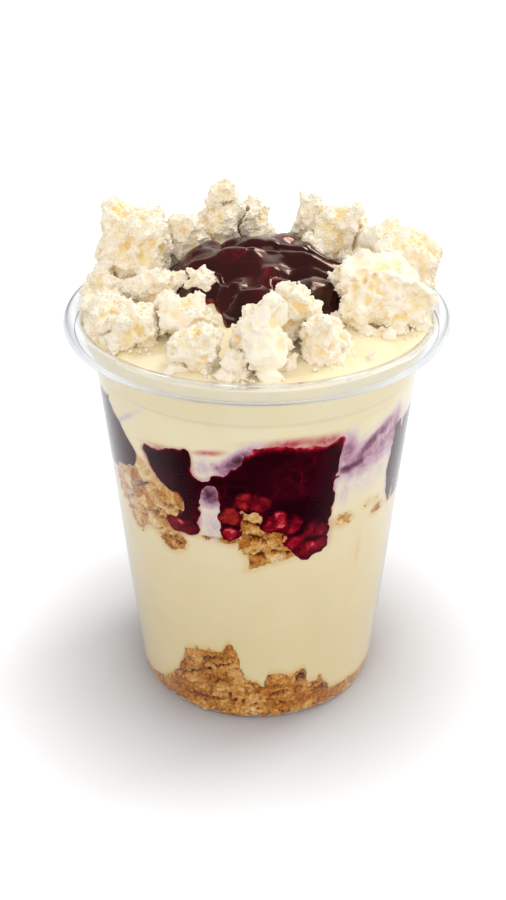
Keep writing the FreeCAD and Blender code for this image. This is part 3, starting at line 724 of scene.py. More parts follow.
# %% [markdown]
# ## Geometry Nodes in this script
# A tree of Geometry Nodes is made with its named inputs, run once on a starting mesh, and its
# result is kept as a plain mesh. The inputs are set by each socket's identifier, before the
# starting mesh is first evaluated.

# %% Geometry Nodes helpers
SOCKETS = {float: "NodeSocketFloat", int: "NodeSocketInt", tuple: "NodeSocketVector"}


def new_tree(name, **inputs):
    """A Geometry Nodes tree and its inputs, which are given with their usual values."""
    tree = bpy.data.node_groups.new(name, "GeometryNodeTree")
    for way in ("INPUT", "OUTPUT"):
        tree.interface.new_socket("Geometry", in_out=way, socket_type="NodeSocketGeometry")
    for label, value in inputs.items():
        kind = SOCKETS.get(type(value), "NodeSocketMaterial")
        tree.interface.new_socket(label, in_out="INPUT", socket_type=kind).default_value = value
    sockets = tree.nodes.new("NodeGroupInput").outputs
    return tree, {socket.name: Output(socket) for socket in sockets if socket.name}


def close_tree(geometry, material):
    """Ends a tree in Realize Instances and Set Material."""
    tree = geometry.tree
    real = add(tree, "GeometryNodeRealizeInstances", {"Geometry": geometry})
    painted = add(tree, "GeometryNodeSetMaterial", {"Geometry": real, "Material": material})
    add(tree, "NodeGroupOutput", {0: painted})
    return tree


def grow(name, base, tree, **values):
    """Runs a tree on a copy of a piece and returns the result as a plain piece."""
    start = placed(name + "_start", base.data.copy())
    modifier = start.modifiers.new("grow", "NODES")
    modifier.node_group = tree
    for item in tree.interface.items_tree:
        if item.in_out == "INPUT" and item.name in values:
            modifier[item.identifier] = values[item.name]
    depsgraph = bpy.context.evaluated_depsgraph_get()
    evaluated = start.evaluated_get(depsgraph)
    mesh = bpy.data.meshes.new_from_object(evaluated, preserve_all_data_layers=True, depsgraph=depsgraph)
    start.modifiers.remove(modifier)
    bpy.data.objects.remove(start)
    mesh.name = name
    return placed(name, mesh)


# %% Steps on geometry
def moved(geometry, where, key="Offset"):
    return add(geometry.tree, "GeometryNodeSetPosition", {"Geometry": geometry, key: where})


def kept(geometry, name, value, domain="POINT"):
    """Stores a number on the mesh under a name."""
    inputs, settings = {"Geometry": geometry, "Name": name, "Value": value}, {"data_type": "FLOAT"}
    return add(geometry.tree, "GeometryNodeStoreNamedAttribute", inputs, domain=domain, **settings)


def joined(upper, lower):
    """Two geometries as one."""
    join = add(upper.tree, "GeometryNodeJoinGeometry", {0: upper})
    upper.tree.links.new(lower.socket, join.socket.node.inputs[0])
    return join


def chance(tree, low, high, seed):
    """A random number or vector for each point."""
    if isinstance(low, tuple):
        return add(tree, "FunctionNodeRandomValue", {0: low, 1: high, 8: seed}, data_type="FLOAT_VECTOR")
    return add(tree, "FunctionNodeRandomValue", {2: low, 3: high, 8: seed}, 1, data_type="FLOAT")


def scattered(where, radius, detail, turn_seed, scale):
    """Balls over a mesh, turned and scaled at random; where says how they are spread on it."""
    tree = where["Mesh"].tree
    ball = add(tree, "GeometryNodeMeshIcoSphere", {"Radius": radius, "Subdivisions": detail})
    points = add(tree, "GeometryNodeDistributePointsOnFaces", where)
    turn = chance(tree, (0, 0, 0), (6.28, 6.28, 6.28), turn_seed)
    inputs = {"Points": points, "Instance": ball, "Rotation": turn, "Scale": scale}
    return add(tree, "GeometryNodeInstanceOnPoints", inputs)


def wander(position, grain, amount):
    """A vector that wanders with the place, up to about the given amount."""
    return (position.noise(grain)["Color"] - (0.5, 0.5, 0.5)) * (amount * 4.0)


# %% [markdown]
# ## Biscuit crumbs
# The crumbs are broken digestive biscuit, pressed down: pale golden flour and fat with browner
# baked skins, dry and matt, with dark gaps where the pieces don't meet. Against the wall they are
# flattened into one plane with pits in it. The mass is a relief made with Voronoi cells, which
# are what packed grains look like in section, and real loose pieces lie over it.

# %% Crumb material
CRUMB_SPECK, CRUMB_CLOUD = 0.7, 5.0
BISCUIT = {0: "3E1B06", 0.2: "7A3C10", 0.4: "B26A24", 0.6: "D29446", 0.8: "E6BA7C", 1: "F2DAAE"}


def biscuit_crumb():
    material, tree, place = new_material("broken_biscuit_crumb")
    speck, cloudy = place.noise(CRUMB_SPECK * MM, 4.0, 0.7), place.noise(CRUMB_CLOUD * MM)
    tone = stored(tree, "shade") + speck.ranged(0.3, 0.7, -0.16, 0.16) + cloudy.ranged(0.3, 0.7, -0.12, 0.12)
    return surface(material, tone.ramp(BISCUIT), 0.85, 1.4, speck.bump(0.5, 0.25), Specular_IOR_Level=0.25)


CRUMB = biscuit_crumb()

# %% Crumb relief and pieces
# The gap and pit amounts are painted shade: they darken the colour where the relief sinks.
GRAIN_TINT, GAP_PAINTED_SHADE, PIT_PAINTED_SHADE = 0.16, -0.45, -0.14
RAGGED, BUMPY = 1.3 * MM, 0.5 * MM
DIVE = 2.6 * MM


def crumb_tree():
    tree, given = new_tree(
        "packed_crumbs", Chunk=3.8 * MM, Grain=0.95 * MM, Reach=0.32 * MM, Gap=1.8 * MM, Pit=0.42 * MM,
        Piece=0.8 * MM, Spread=60000.0, Tone=0.44, Contrast=0.22, Seed=5, Cone=CONE_SLOPE,
        Foot=(BASE_RADIUS - SHEET) * MM, Finish=CRUMB,
    )
    position, inside = add(tree, "GeometryNodeInputPosition"), stored(tree, "inside")
    wobble = position.noise(2.2 * MM, 3.0, 0.6)
    bent = position + wobble["Color"] * (1.6 * MM)
    chunk, grain = bent.cells(given["Chunk"]), bent.cells(given["Grain"])
    # Gaps open along some seams between the chunks, and along the cracks.
    seam = bent.cells(given["Chunk"], "DISTANCE_TO_EDGE")
    gap = seam.ranged(0.02, 0.12, 1.0, 0.0) * wobble.ranged(0.51, 0.60)
    torn = stored(tree, "crack") + wobble.ranged(0.35, 0.6, -0.5, 0.5)
    gap = gap.maths("MAXIMUM", torn.ranged(0.5, 0.9))
    pit = grain.ranged(0.25, 0.75)
    relief = given["Reach"] - (pit * given["Pit"] + gap * given["Gap"])
    # Outside the layer's ragged edge its skin dives into the cream.
    ragged = wobble.ranged(0.3, 0.7, -RAGGED, RAGGED)
    edge = inside + ragged + grain.ranged(0.0, 0.8, BUMPY, -BUMPY)
    reach = relief.maths("MINIMUM", edge.ranged(-0.9 * MM, 0.7 * MM, -DIVE, 0.35 * MM))
    out = position.maths("MULTIPLY", (1, 1, 0))
    core = moved(given["Geometry"], out.maths("NORMALIZE") * reach)
    # The colour is each chunk's tone and grain, with painted shade darkening the gaps and pits.
    tint = chunk["Color"].part(0) * given["Contrast"] + given["Tone"]
    tint = tint + grain["Color"].part(0) * GRAIN_TINT + gap * GAP_PAINTED_SHADE + pit * PIT_PAINTED_SHADE
    core = kept(core, "shade", tint)
    # Loose pieces lie where the mass is well inside its outline.
    within = inside.maths("GREATER_THAN", 0.5 * MM)
    where = {"Mesh": core, "Selection": within, "Density": given["Spread"], "Seed": given["Seed"]}
    stretch = chance(tree, (0.35, 0.35, 0.3), (1.5, 1.25, 1.1), 2)
    loose = scattered(where, given["Piece"], 2, 1, stretch)
    loose = kept(loose, "shade", chance(tree, 0.42, 0.74, 3), "INSTANCE")
    loose = add(tree, "GeometryNodeRealizeInstances", {"Geometry": loose})
    loose = moved(loose, wander(position, 0.9 * MM, 0.325 * MM))
    # The wall presses every piece flat.
    level = position.part(2).maths("MAXIMUM", 0.7 * MM)
    limit = level * given["Cone"] + given["Foot"] + given["Reach"]
    share = limit.maths("DIVIDE", out.maths("LENGTH", output="Value")).maths("MINIMUM", 1.0)
    flat = out * share
    target = add(tree, "ShaderNodeCombineXYZ", {0: flat.part(0), 1: flat.part(1), 2: level})
    loose = moved(loose, target, "Position")
    loose = add(tree, "GeometryNodeSetShadeSmooth", {"Geometry": loose, "Shade Smooth": False})
    return close_tree(joined(loose, core), given["Finish"])


PACKED_CRUMBS = crumb_tree()

# %% Crumb layers
CRUMB_STEP, CRUMB_BACK_STEP = 0.38, 0.8
crumb_azimuths = wall_azimuths(CRUMB_STEP, CRUMB_BACK_STEP)
# Cracks, sunk into the relief and darkened by painted shade: azimuth and level of both ends, half width in
# mm.
CRUMB_CRACKS = (
    (-41, 12, -28, 14.5, 0.7), (-28, 14.5, -12, 20, 0.6), (-24, 20.5, -14, 22, 0.5), (19, 13, 20, 14, 1.3),
    (7, 9.5, 20, 10.5, 0.8), (-30, 6, -10, 7, 0.5), (28, 8.5, 34, 8.8, 0.5), (-52, 70, -44, 72.5, 0.8),
    (-38, 68.5, -27, 67, 0.9), (-47, 63.5, -40, 64.5, 0.7), (-60, 64, -54, 65.5, 0.7),
    (-35, 58.5, -30, 57.5, 0.6), (-2, 63.5, 4, 61, 0.9), (-6, 57, 2, 57.6, 0.7), (6, 58.5, 12, 57.8, 0.6),
    (-4, 68, 0, 67, 0.6),
)


def crack_at(azimuths, levels):
    """1 in the middle of a crack, 0 away from all of them."""
    total = np.zeros(np.broadcast(azimuths, levels).shape)
    for start, low, end, high, half_width in CRUMB_CRACKS:
        line = (start * DEGREE, low), (end * DEGREE, high)
        away = from_line(apart(azimuths) * DEGREE, levels, *line)
        total = np.maximum(total, np.exp(-((away / half_width) ** 2)))
    return total


# The middle layer was baked unevenly: paler chunks and darker skins.
crumb_layers = {
    "crumb_base": (0.75, 31.0, crumb_base_depth, {"Seed": 5, "Tone": 0.41}),
    "crumb_middle": (49.0, 84.0, crumb_middle_depth, {"Seed": 9, "Tone": 0.46, "Contrast": 0.42}),
}
for node, (lowest, highest, depth_at, values) in crumb_layers.items():
    rows = np.arange(lowest, highest, CRUMB_STEP)[:, None]
    core = wall_body(node + "_core", crumb_azimuths, rows, 0.0, CRUMB)
    give_attribute(core, "inside", depth_at(crumb_azimuths[None, :], rows) * MM)
    give_attribute(core, "crack", crack_at(crumb_azimuths[None, :], rows))
    piece = grow(node + "_packed", core, PACKED_CRUMBS, **values)
    bpy.data.objects.remove(core)
    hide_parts(node)
    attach(piece, "root")
    print(piece.name, len(piece.data.polygons), "faces")

# %% [markdown]
# ## Berry compote
# The compote is cooked blackcurrants and cherries in their own thickened juice: almost black where
# it is deep, wine red where a film of it is thin, with softer red fruit showing through. Its
# surface is wet, so it is nearly a mirror in the open pool. Against the plastic there is no air
# and so no shine of its own: only the wall's reflections are seen there.

# %% Compote material
FRUIT_FLESH, FRUIT_SKIN = 2.4, 0.8
JUICE = {0: "22030B", 0.2: "3C0512", 0.45: "740A1B", 0.75: "B01A2A", 1: "D06A70"}


def berry_compote(name, roughness, shine, mirror):
    material, tree, place = new_material(name)
    flesh, skin = place.noise(FRUIT_FLESH * MM, 5.0, 0.6, 0.4), place.noise(FRUIT_SKIN * MM)
    tone = stored(tree, "red") * flesh.ranged(0.35, 0.7, 0.45, 1.5)
    base = stored(tree, "warm").blended(tone.ramp(JUICE), "C85A20")
    return surface(
        material, base, roughness, 1.42, skin.bump(0.15, 0.15), Specular_IOR_Level=shine,
        Specular_Tint=linear(mirror),
    )


COMPOTE_AT_WALL = berry_compote("cooked_berries_against_plastic", 0.5, 0.0, "FFFFFF")
# The open pool's reflections are tinted warm, a painted reflection colour standing in for the cream and
# meringue round it.
COMPOTE_POOL = berry_compote("cooked_berries_open_and_wet", 0.16, 1.0, "FFD2B0")

# %% [markdown]
# ## The compote layer
# The compote runs down between the creams in drips, with a soft finger of cream hanging into it,
# and its fruit has sunk to the lower edge. It is one body drawn on the unrolled wall: smooth at
# its edges, since juice flows, and with the fruit as low bulges pressed against the wall.

# %% Compote layer
COMPOTE_REACH, FRUIT_REACH, COMPOTE_DIVE = 0.40, 0.48, 2.4
COMPOTE_STEP, COMPOTE_BACK_STEP = 0.42, 0.9
# Fruit against the wall: azimuth, level, half width and half height in mm, redness, warmth.
FRUIT = (
    (-30.6, 64.1, 3.5, 2.4, 0.8, 0), (-25, 63.8, 2.5, 2.4, 0.44, 0), (-9.6, 69.4, 2.8, 3.8, 0.56, 0.12),
    (-9.8, 64.4, 2.4, 2.4, 0.7, 0), (-3.4, 73.8, 3.2, 3.1, 0.6, 0.08), (1.8, 73.2, 3, 2.6, 0.56, 0.06),
    (7.2, 67.4, 3.5, 3.1, 0.74, 0), (12.4, 66.4, 3, 3.1, 0.5, 0), (15.2, 60.6, 3.2, 3.4, 0.7, 0),
    (20.6, 58.8, 4, 3.4, 0.7, 0), (22.6, 64, 3.2, 3.4, 0.46, 0), (100, 70, 4.5, 3.6, 0.5, 0),
    (118, 72.5, 3.8, 3.6, 0.4, 0), (165, 70, 4.8, 3.8, 0.5, 0), (205, 71, 4.2, 3.6, 0.45, 0),
    (236, 73, 3.8, 3.4, 0.5, 0),
)


def fruit_at(azimuths, levels, places):
    """How far inside a piece of fruit each point lies, with the fruit's redness and warmth."""
    best = np.full(np.broadcast(azimuths, levels).shape, -9.0)
    red, warm = np.zeros_like(best), np.zeros_like(best)
    lobes = 0.20 * mottle(places, 2.4, 21) + 0.08 * mottle(places, 0.9, 22)
    for azimuth, level, half_width, half_height, redness, warmth in FRUIT:
        across = apart(azimuths, azimuth) * DEGREE
        away = np.hypot(across / half_width, (levels - level) / half_height) + lobes
        nearer = 1 - away > best
        best = np.where(nearer, 1 - away, best)
        red, warm = np.where(nearer, redness, red), np.where(nearer, warmth, warm)
    return best, red, warm


def make_compote_layer():
    azimuths = wall_azimuths(COMPOTE_STEP, COMPOTE_BACK_STEP)
    rows = np.arange(54.0, 94.5, COMPOTE_STEP)[:, None]
    grid = azimuths[None, :]
    places = around(bore(rows), azimuths, rows)
    depth = compote_depth(grid, rows) + 0.30 * mottle(places, 1.1, 7) + 0.45 * mottle(places, 3.2, 8)
    fruit, redness, warmth = fruit_at(grid, rows, places)
    depth = np.maximum(depth, fruit * 2.2)
    skin = COMPOTE_REACH + 0.05 * mottle(places, 3.0, 9)
    crease = soft_step(np.abs(fruit - 0.02), 0.0, 0.12)
    skin = np.where(fruit > 0, FRUIT_REACH, skin) - 0.10 * (1 - crease) * (fruit > -0.5)
    rise = (COMPOTE_DIVE + COMPOTE_REACH + 0.15) * soft_step(depth, -1.4, 0.45)
    reach = np.minimum(skin, rise - COMPOTE_DIVE)
    piece = wall_body("compote_between_creams", azimuths, rows, reach, COMPOTE_AT_WALL)
    # A film of juice is thin and red at the edges, and widest at the top of the front.
    top_fade = soft_step(rows, 86.0, 88.5) * (np.abs(grid - 12) < 20) * (0.8 + 0.4 * mottle(places, 3.0, 12))
    film = (0.55 + 0.45 * top_fade) * np.exp(-np.maximum(depth, 0) / (0.45 + 0.85 * top_fade))
    veins = 4 * np.maximum(0.25 - np.abs(mottle(places * (1, 1, 0.6), 2.6, 13)), 0)
    deep = 0.06 + 0.12 * mottle(places, 6.0, 11)
    deep = deep + 0.22 * veins * soft_step(mottle(places, 9.0, 14), 0.0, 0.6)
    lobes = soft_step(np.abs(mottle(places * (1, 1, 0.7), 3.2, 15)), 0.0, 0.5)
    glow = redness * (0.62 + 0.38 * lobes) * soft_step(fruit, 0.0, 0.35)
    give_attribute(piece, "red", np.maximum(np.maximum(film, deep), np.where(fruit > 0, glow, 0)))
    give_attribute(piece, "warm", np.where(fruit > 0, warmth * soft_step(fruit, 0.0, 0.5) * lobes, 0))
    return piece


compote_layer = make_compote_layer()
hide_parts("compote_layer")
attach(compote_layer, "root")
print(compote_layer.name, len(compote_layer.data.polygons), "faces")

# %% [markdown]
# ## The pool of compote
# On top the compote lies open: a thick, wrinkled, glossy skin over lumps of fruit. A cloth or
# fluid simulation would give folds, but not where they are wanted. The pool is a heap with a
# rounded edge, a tongue and a wider spill towards the front, and its skin is raised by ridged
# noise on a place that is itself bent by noise, which gives the soft creases of stirred jam.

# %% Pool
POOL_HALF_WIDTH, POOL_HALF_LENGTH = 25.4, 19.6
POOL_TONGUE, TONGUE_AT = 7.0, -16.0
POOL_SPILL, SPILL_AT = 5.5, 42.0
POOL_BACK = 9.5
POOL_HEAP, POOL_SINK = 3.6, 2.0
FOLD, WRINKLE = 12.0, 5.2
FOLD_HEIGHT, WRINKLE_HEIGHT = 2.9, 1.15
POOL_FRUIT = 8


def pool_reach(azimuths):
    """How far the pool reaches from its own middle: an oval with lobes, a tongue and a spill."""
    turn = np.radians(azimuths)
    oval = 1 / np.hypot(np.sin(turn) / POOL_HALF_WIDTH, np.cos(turn) / POOL_HALF_LENGTH)
    lobes = 1 + 0.05 * np.sin(5 * turn + 1.0) + 0.04 * np.sin(8 * turn + 2.0)
    tongue = POOL_TONGUE * soft_step(np.abs(apart(azimuths, TONGUE_AT)), 21.0, -5.0)
    spill = POOL_SPILL * soft_step(np.abs(apart(azimuths, SPILL_AT)), 44.0, 12.0)
    return oval * lobes + tongue + spill + 0.8 * np.sin(13 * turn) + 0.5 * np.sin(23 * turn + 1)


def creased(points, grain, seed):
    """Ridged noise from 0 to 1: broad swells with narrow valleys between them."""
    bend = np.stack([mottle(points, grain * 1.3, seed + part) for part in (1, 2, 3)], axis=-1)
    return np.sqrt(np.abs(mottle(points + bend * grain * 0.6, grain, seed)) + 0.015)


def pool_surface(x, y, share):
    """Height over the cream, and how much of it is a lump of fruit."""
    place = np.stack([x, 1.5 * y, np.zeros_like(x)], axis=-1)
    height = POOL_HEAP * np.clip(1 - share**2.6, 0, 1) ** 0.55
    inner = 1 - share**6
    height = height + inner * FOLD_HEIGHT * (creased(place, FOLD, 31) - 0.6)
    height = height + inner * WRINKLE_HEIGHT * mottle(place, WRINKLE, 41)
    chance = np.random.default_rng(12)
    fruit = np.zeros_like(x)
    for _ in range(POOL_FRUIT):
        turn, far = chance.uniform(0, 2 * math.pi), math.sqrt(chance.uniform(0, 0.75))
        right, back = far * POOL_HALF_WIDTH * math.sin(turn), far * POOL_HALF_LENGTH * math.cos(turn)
        radius = chance.uniform(2.6, 4.4)
        near = 1 - ((x - right) ** 2 + (y - POOL_BACK - back) ** 2) / radius**2
        fruit = np.maximum(fruit, np.clip(near, 0, 1) ** 0.7 * radius / 3.2)
    return height + 0.6 * fruit * inner, fruit


def make_pool():
    azimuths = np.arange(0, 360, 1.1)
    shares = np.concatenate([np.linspace(0.5, 1, 3), np.linspace(1, 0, 76)[:-1]])[:, None]
    points = around(shares * pool_reach(azimuths), azimuths, 0.0) + (0, POOL_BACK, 0)
    x, y = points[..., 0], points[..., 1]
    height, fruit = pool_surface(x, y, shares)
    height[:3] = -POOL_SINK * np.array([[1.0], [0.9], [0.5]])
    points[..., 2] = cream_surface(x, y) + height
    piece = closed_body("compote_pool", points, COMPOTE_POOL)
    body = 0.11 + 0.10 * mottle(np.stack([x, y, height], axis=-1), 6.0, 51) + 0.08 * fruit
    give_attribute(piece, "red", np.maximum(body, 0.6 * soft_step(shares, 0.95, 1.0)))
    return piece


pool = make_pool()
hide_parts("compote_top")
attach(pool, "root")
print(pool.name, len(pool.data.polygons), "faces")

# %% [markdown]
# ## Broken meringue
# Meringue is egg white and sugar, dried until it snaps: chalk white, matt and full of air. A broken
# face is all granules and pores, and its hollows have a painted shade, warmer and a little darker,
# that stands in for light passing through the walls of the bubbles. A skin that wasn't broken is
# smooth. Each lump starts from its solid, gets granules of several sizes fused over its broken sides,
# and keeps its smooth sides.

# %% Meringue material
SUGAR_GRAIN = 0.6
MERINGUE_WHITE, MERINGUE_HOLLOW_PAINTED_SHADE = "FCF1DD", "FBE1A6"


def dried_meringue():
    material, tree, place = new_material("dried_meringue_broken")
    height = place.cells(SUGAR_GRAIN * MM, detail=1.0) * -1.0 + 1.0
    drift = place.noise(6.0 * MM).ranged(0.35, 0.65, -0.15, 0.15)
    # Painted shade: the colour turns warmer and a little darker in hollows, standing in for light passing
    # through the bubble walls.
    warm = (stored(tree, "hollow") + drift).ranged(0.08, 0.7)
    return surface(
        material, warm.blended(MERINGUE_WHITE, MERINGUE_HOLLOW_PAINTED_SHADE), 0.8, 1.45, height.bump(0.55, 0.22),
        Specular_IOR_Level=0.3, Subsurface_Weight=0.18, Subsurface_Scale=0.5 * MM,
        Subsurface_Radius=(1.0, 0.9, 0.8),
    )


MERINGUE = dried_meringue()


# %% Meringue tree
def merged_copy(node, name):
    """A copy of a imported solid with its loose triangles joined."""
    piece = placed(name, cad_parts[node].data.copy())
    weld = piece.modifiers.new("weld", "WELD")
    weld.merge_threshold = 0.001 * MM
    depsgraph = bpy.context.evaluated_depsgraph_get()
    welded = bpy.data.meshes.new_from_object(piece.evaluated_get(depsgraph), depsgraph=depsgraph)
    piece.modifiers.clear()
    piece.data = welded
    return piece


def granules(mesh, density, radius, least, power, seed, detail=1):
    """Uneven balls over a mesh, most of them small, as real geometry."""
    size = chance(mesh.tree, 0.0, 1.0, seed).maths("POWER", power) * (1.0 - least) + least
    balls = scattered({"Mesh": mesh, "Density": density, "Seed": seed}, radius, detail, 4, size)
    return add(mesh.tree, "GeometryNodeRealizeInstances", {"Geometry": balls})


def blurred(position, rounds):
    inputs = {0: position, "Iterations": rounds}
    return add(position.tree, "GeometryNodeBlurAttribute", inputs, data_type="FLOAT_VECTOR")


def hollows(geometry, rounds, depth):
    """Stores how far each point lies under the average of its neighbours, from 0 to 1."""
    position, normal = [add(geometry.tree, "GeometryNodeInput" + kind) for kind in ("Position", "Normal")]
    under = (blurred(position, rounds) - position).maths("DOT_PRODUCT", normal, output="Value")
    return kept(geometry, "hollow", under.ranged(-0.3 * depth, depth))


def meringue_tree():
    tree, given = new_tree(
        "broken_meringue", Voxel=0.38 * MM, Inset=0.6 * MM, Boulder=2.6 * MM, Boulders=30000.0,
        Clump=1.1 * MM, Clumps=260000.0, Grain=0.6 * MM, Grains=800000.0, Speck=0.42 * MM, Specks=900000.0,
        Lump=6.0 * MM, Bulge=1.7 * MM, Pore=1.3 * MM, Bite=0.2 * MM,
        Smooth_Side=(0.0, 0.0, 0.0), Smooth_Reach=0.7, Seed=1, Finish=MERINGUE,
    )
    position, normal = [add(tree, "GeometryNodeInput" + kind) for kind in ("Position", "Normal")]
    facing = normal.maths("DOT_PRODUCT", given["Smooth_Side"], output="Value")
    broken = facing.ranged(given["Smooth_Reach"] - 0.15, given["Smooth_Reach"], 1.0, 0.0)
    core = add(tree, "GeometryNodeSubdivideMesh", {"Mesh": given["Geometry"], "Level": 2})
    core = moved(core, normal * (given["Inset"] * (broken * -1.0)))
    core = moved(core, wander(position, given["Lump"], given["Bulge"]))
    for size, count, power in (("Boulder", "Boulders", 0.8), ("Clump", "Clumps", 1.2)):
        balls = granules(core, given[count] * broken, given[size], 0.35, power, given["Seed"])
        balls = moved(balls, wander(position, given[size] * 1.2, given[size] * 0.16))
        core = joined(balls, core)
    grains = granules(core, given["Grains"] * broken, given["Grain"], 0.5, 1.2, given["Seed"])
    voxels, by_size = {"Voxel Size": given["Voxel"]}, {"resolution_mode": "VOXEL_SIZE"}
    inputs = {"Mesh": joined(grains, core), "Interior Band Width": 3 * MM, **voxels}
    volume = add(tree, "GeometryNodeMeshToVolume", inputs, **by_size)
    inputs = {"Volume": volume, "Threshold": 0.1, **voxels}
    body = add(tree, "GeometryNodeVolumeToMesh", inputs, **by_size)
    body = moved(body, blurred(position, 1), "Position")
    # Pores eat into the broken sides.
    eaten = position.noise(given["Pore"], 3.0, 0.6).ranged(0.36, 0.64, 0.5, -1.0)
    eaten = eaten * (given["Bite"] * (broken * 0.8 + 0.2))
    body = hollows(moved(body, normal * eaten), 60, 0.9 * MM)
    specks = granules(body, given["Specks"] * broken, given["Speck"], 0.5, 1.2, given["Seed"])
    smooth = add(tree, "GeometryNodeSetShadeSmooth", {"Geometry": joined(specks, body)})
    return close_tree(smooth, given["Finish"])


BROKEN_MERINGUE = meringue_tree()

# %% Meringue lumps
# The lumps that keep a smooth side: the side's azimuth and elevation, and how far it reaches.
SMOOTH_SIDES = {
    "meringue_01": (-95, 25, 0.86), "meringue_07": (-20, 25, 0.80), "meringue_10": (25, 15, 0.45),
    "meringue_14": (-62, 12, 0.62), "meringue_13": (60, 60, 0.72), "meringue_15": (-90, 10, 0.85),
}
# The lumps that must stand clear of their neighbours, with what they have of their own in mm.
OWN_SIZES = {
    "meringue_04": {"Inset": 1.7, "Boulder": 1.5}, "meringue_10": {"Inset": 0.9},
    "meringue_13": {"Inset": 1.2}, "meringue_20": {"Inset": 0.9, "Boulder": 1.3, "Bulge": 0.3},
    "meringue_21": {"Inset": 1.2},
}


def towards(azimuth, elevation):
    """The direction of an azimuth and elevation in degrees."""
    turn, lift = math.radians(azimuth), math.radians(elevation)
    return Vector((math.sin(turn) * math.cos(lift), -math.cos(turn) * math.cos(lift), math.sin(lift)))


lump_nodes = sorted(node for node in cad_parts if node.startswith("meringue"))
lumps = []
for seed, node in enumerate(lump_nodes, start=1):
    base = merged_copy(node, node + "_base")
    values = {label: size * MM for label, size in OWN_SIZES.get(node, {}).items()}
    if node in SMOOTH_SIDES:
        azimuth, elevation, reach = SMOOTH_SIDES[node]
        values.update(Smooth_Side=towards(azimuth, elevation), Smooth_Reach=reach)
    lump = grow(node + "_broken", base, BROKEN_MERINGUE, Seed=seed, **values)
    bpy.data.objects.remove(base)
    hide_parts(node)
    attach(lump, "root")
    lumps.append(lump)
print("meringue:", len(lumps), "lumps,", sum(len(lump.data.polygons) for lump in lumps), "faces")

# %% [markdown]
# ## Loose crumbs of meringue
# A dish that has been topped by hand has crumbs lying round every lump. They are scattered over a
# copy of the cream's top, thickest close to the lumps, and are real little lumps of several
# sizes, each grown from a ball that noise has made uneven.

# %% Loose crumbs
CRUMB_RINGS, CRUMB_COLUMNS = 60, 220
CRUMB_FALL_OFF = 2.2


def loose_crumb_tree():
    tree, given = new_tree(
        "loose_meringue", Size=0.55 * MM, Spread=300000.0, Fall_Off=1.0, Bend=0.45, Seed=7, Finish=MERINGUE,
    )
    density = given["Spread"] * stored(tree, "chance").maths("POWER", given["Fall_Off"])
    balls = granules(given["Geometry"], density, given["Size"], 0.4, 1.5, given["Seed"], 2)
    position = add(tree, "GeometryNodeInputPosition")
    balls = moved(balls, wander(position, given["Size"], given["Size"] * given["Bend"]))
    smooth = add(tree, "GeometryNodeSetShadeSmooth", {"Geometry": hollows(balls, 3, 0.3 * MM)})
    return close_tree(smooth, given["Finish"])


def crumb_ground():
    """The cream's top with the chance of a crumb at each point, highest beside the lumps."""
    azimuths = np.arange(CRUMB_COLUMNS) * 360 / CRUMB_COLUMNS
    radius = np.linspace(bore(FILL_LEVEL) - 0.8, 2.0, CRUMB_RINGS)[:, None]
    ground_points = around(radius, azimuths, 0.0)
    x, y = ground_points[..., 0], ground_points[..., 1]
    ground_points[..., 2] = cream_surface(x, y) + 0.25
    nearest = np.full(x.shape, 99.0)
    for lump in lumps:
        points = np.empty(len(lump.data.vertices) * 3, dtype=np.float32)
        lump.data.vertices.foreach_get("co", points)
        points = points.reshape(-1, 3)[::40] / MM
        low = points[points[:, 2] < cream_surface(points[:, 0], points[:, 1]) + 3.0]
        for px, py, _ in low:
            nearest = np.minimum(nearest, np.hypot(x - px, y - py))
    turn = np.degrees(np.arctan2(x, -(y - POOL_BACK)))
    in_pool = np.hypot(x, y - POOL_BACK) < pool_reach(turn) + 0.3
    faces = ring_faces(CRUMB_RINGS, CRUMB_COLUMNS)
    ground = mesh_piece("crumb_ground", ground_points.reshape(-1, 3), faces, MERINGUE)
    give_attribute(ground, "chance", np.where(in_pool, 0.0, np.exp(-nearest / CRUMB_FALL_OFF)))
    return ground


ground = crumb_ground()
crumb_balls = loose_crumb_tree()
loose = grow("meringue_loose_crumbs", ground, crumb_balls)
knobs = grow("knobs", ground, crumb_balls, Size=2.7 * MM, Spread=75000.0, Fall_Off=1.2, Bend=0.3, Seed=3)
own = {"Inset": 0.0, "Boulders": 0.0, "Specks": 0.0, "Bulge": 0.4 * MM}
bits = grow("meringue_broken_bits", knobs, BROKEN_MERINGUE, **own)
for source in (ground, knobs):
    bpy.data.objects.remove(source)
for piece in (loose, bits):
    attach(piece, "root")
    print(piece.name, len(piece.data.polygons), "faces")

# %% [markdown]
# ## Light and ground
# The cup stands on a white table in a white room. A large soft lamp to the right and a little
# behind throws the soft shadow to the left, a wider and weaker one in front fills it, and a tall
# narrow one at the right lights the side. The room fills the rest, and a mirroring surface sees a
# bright window in it. The table gives the camera a little light of its own away from the cup, so
# that it reads as white, and still takes the shadow.

# %% Table
TABLE_SIZE = 4000.0
TABLE_PAINT = "BEBEC0"
GLOW_START, GLOW_END = 0.034, 0.115
GLOW_MIRRORED = 0.4


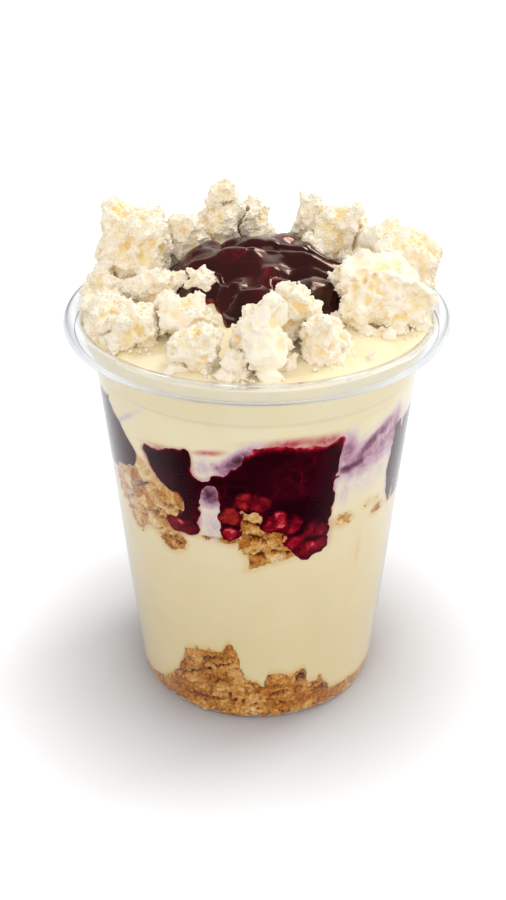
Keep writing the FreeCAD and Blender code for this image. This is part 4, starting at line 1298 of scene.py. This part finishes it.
def white_table():
    material, tree, place = new_material("white_table")
    away = place.maths("LENGTH", output="Value")
    path = add(tree, "ShaderNodeLightPath")
    mirrored = path["Is Glossy Ray"].maths("MAXIMUM", path["Is Transmission Ray"])
    seen = mirrored * GLOW_MIRRORED + path["Is Camera Ray"]
    strength = away.ranged(GLOW_START, GLOW_END) * seen
    paint = add(tree, "ShaderNodeBsdfDiffuse", {"Color": linear(TABLE_PAINT)})
    glow = add(tree, "ShaderNodeEmission", {"Color": linear("FFFFFF"), "Strength": strength})
    both = add(tree, "ShaderNodeAddShader", {0: paint, 1: glow})
    return finished(material, both)


half = TABLE_SIZE / 2
table_corners = [(-half, -half, 0), (half, -half, 0), (half, half, 0), (-half, half, 0)]
table = mesh_piece("table", table_corners, [(0, 1, 2, 3)], white_table(), smooth=False)

# %% Room and lamps
ROOM_HORIZON, ROOM_OVERHEAD = 1.14, 0.84
WINDOW_WAY = (0.10, 0.84, 0.53)
WALLS_MIRRORED, WINDOW_MIRRORED = 0.24, 1.5
world = bpy.data.worlds.new("white_room")
bpy.context.scene.world = world
world.use_nodes = True
tree = world.node_tree
tree.nodes.clear()
way_out = add(tree, "ShaderNodeTexCoord", output="Generated")
level = way_out.part(2).ranged(0.0, 0.9, ROOM_HORIZON, ROOM_OVERHEAD)
window = way_out.maths("DOT_PRODUCT", WINDOW_WAY, output="Value")
mirrored = window.ranged(0.78, 0.95, WALLS_MIRRORED, WINDOW_MIRRORED)
path = add(tree, "ShaderNodeLightPath")
for ray, seen in (("Is Glossy Ray", mirrored), ("Is Camera Ray", 1.0)):
    level = add(tree, "ShaderNodeMix", {0: path[ray], 2: level, 3: seen}, data_type="FLOAT")
room = add(tree, "ShaderNodeBackground", {"Color": linear("FFFFFF"), "Strength": level})
add(tree, "ShaderNodeOutputWorld", {0: room})


def soft_lamp(name, azimuth, elevation, distance, width, height, power, colour):
    """A rectangular lamp that faces the middle of the cup."""
    data = bpy.data.lights.new(name, "AREA")
    data.shape = "RECTANGLE"
    data.size, data.size_y = width * MM, height * MM
    data.energy = power
    data.color = linear(colour)[:3]
    lamp = placed(name, data)
    way = towards(azimuth, elevation)
    lamp.location = (way * distance + Vector((0, 0, 60))) * MM
    lamp.rotation_euler = way.to_track_quat("Z", "Y").to_euler()


soft_lamp("key", 125, 48, 900, 300, 260, 2.8, "FFFEFA")
soft_lamp("fill", -12, 34, 900, 700, 400, 1.1, "FFFCF6")
soft_lamp("side", 82, 12, 700, 160, 520, 0.6, "FFFFFF")
print("room:", ROOM_HORIZON, "to", ROOM_OVERHEAD)
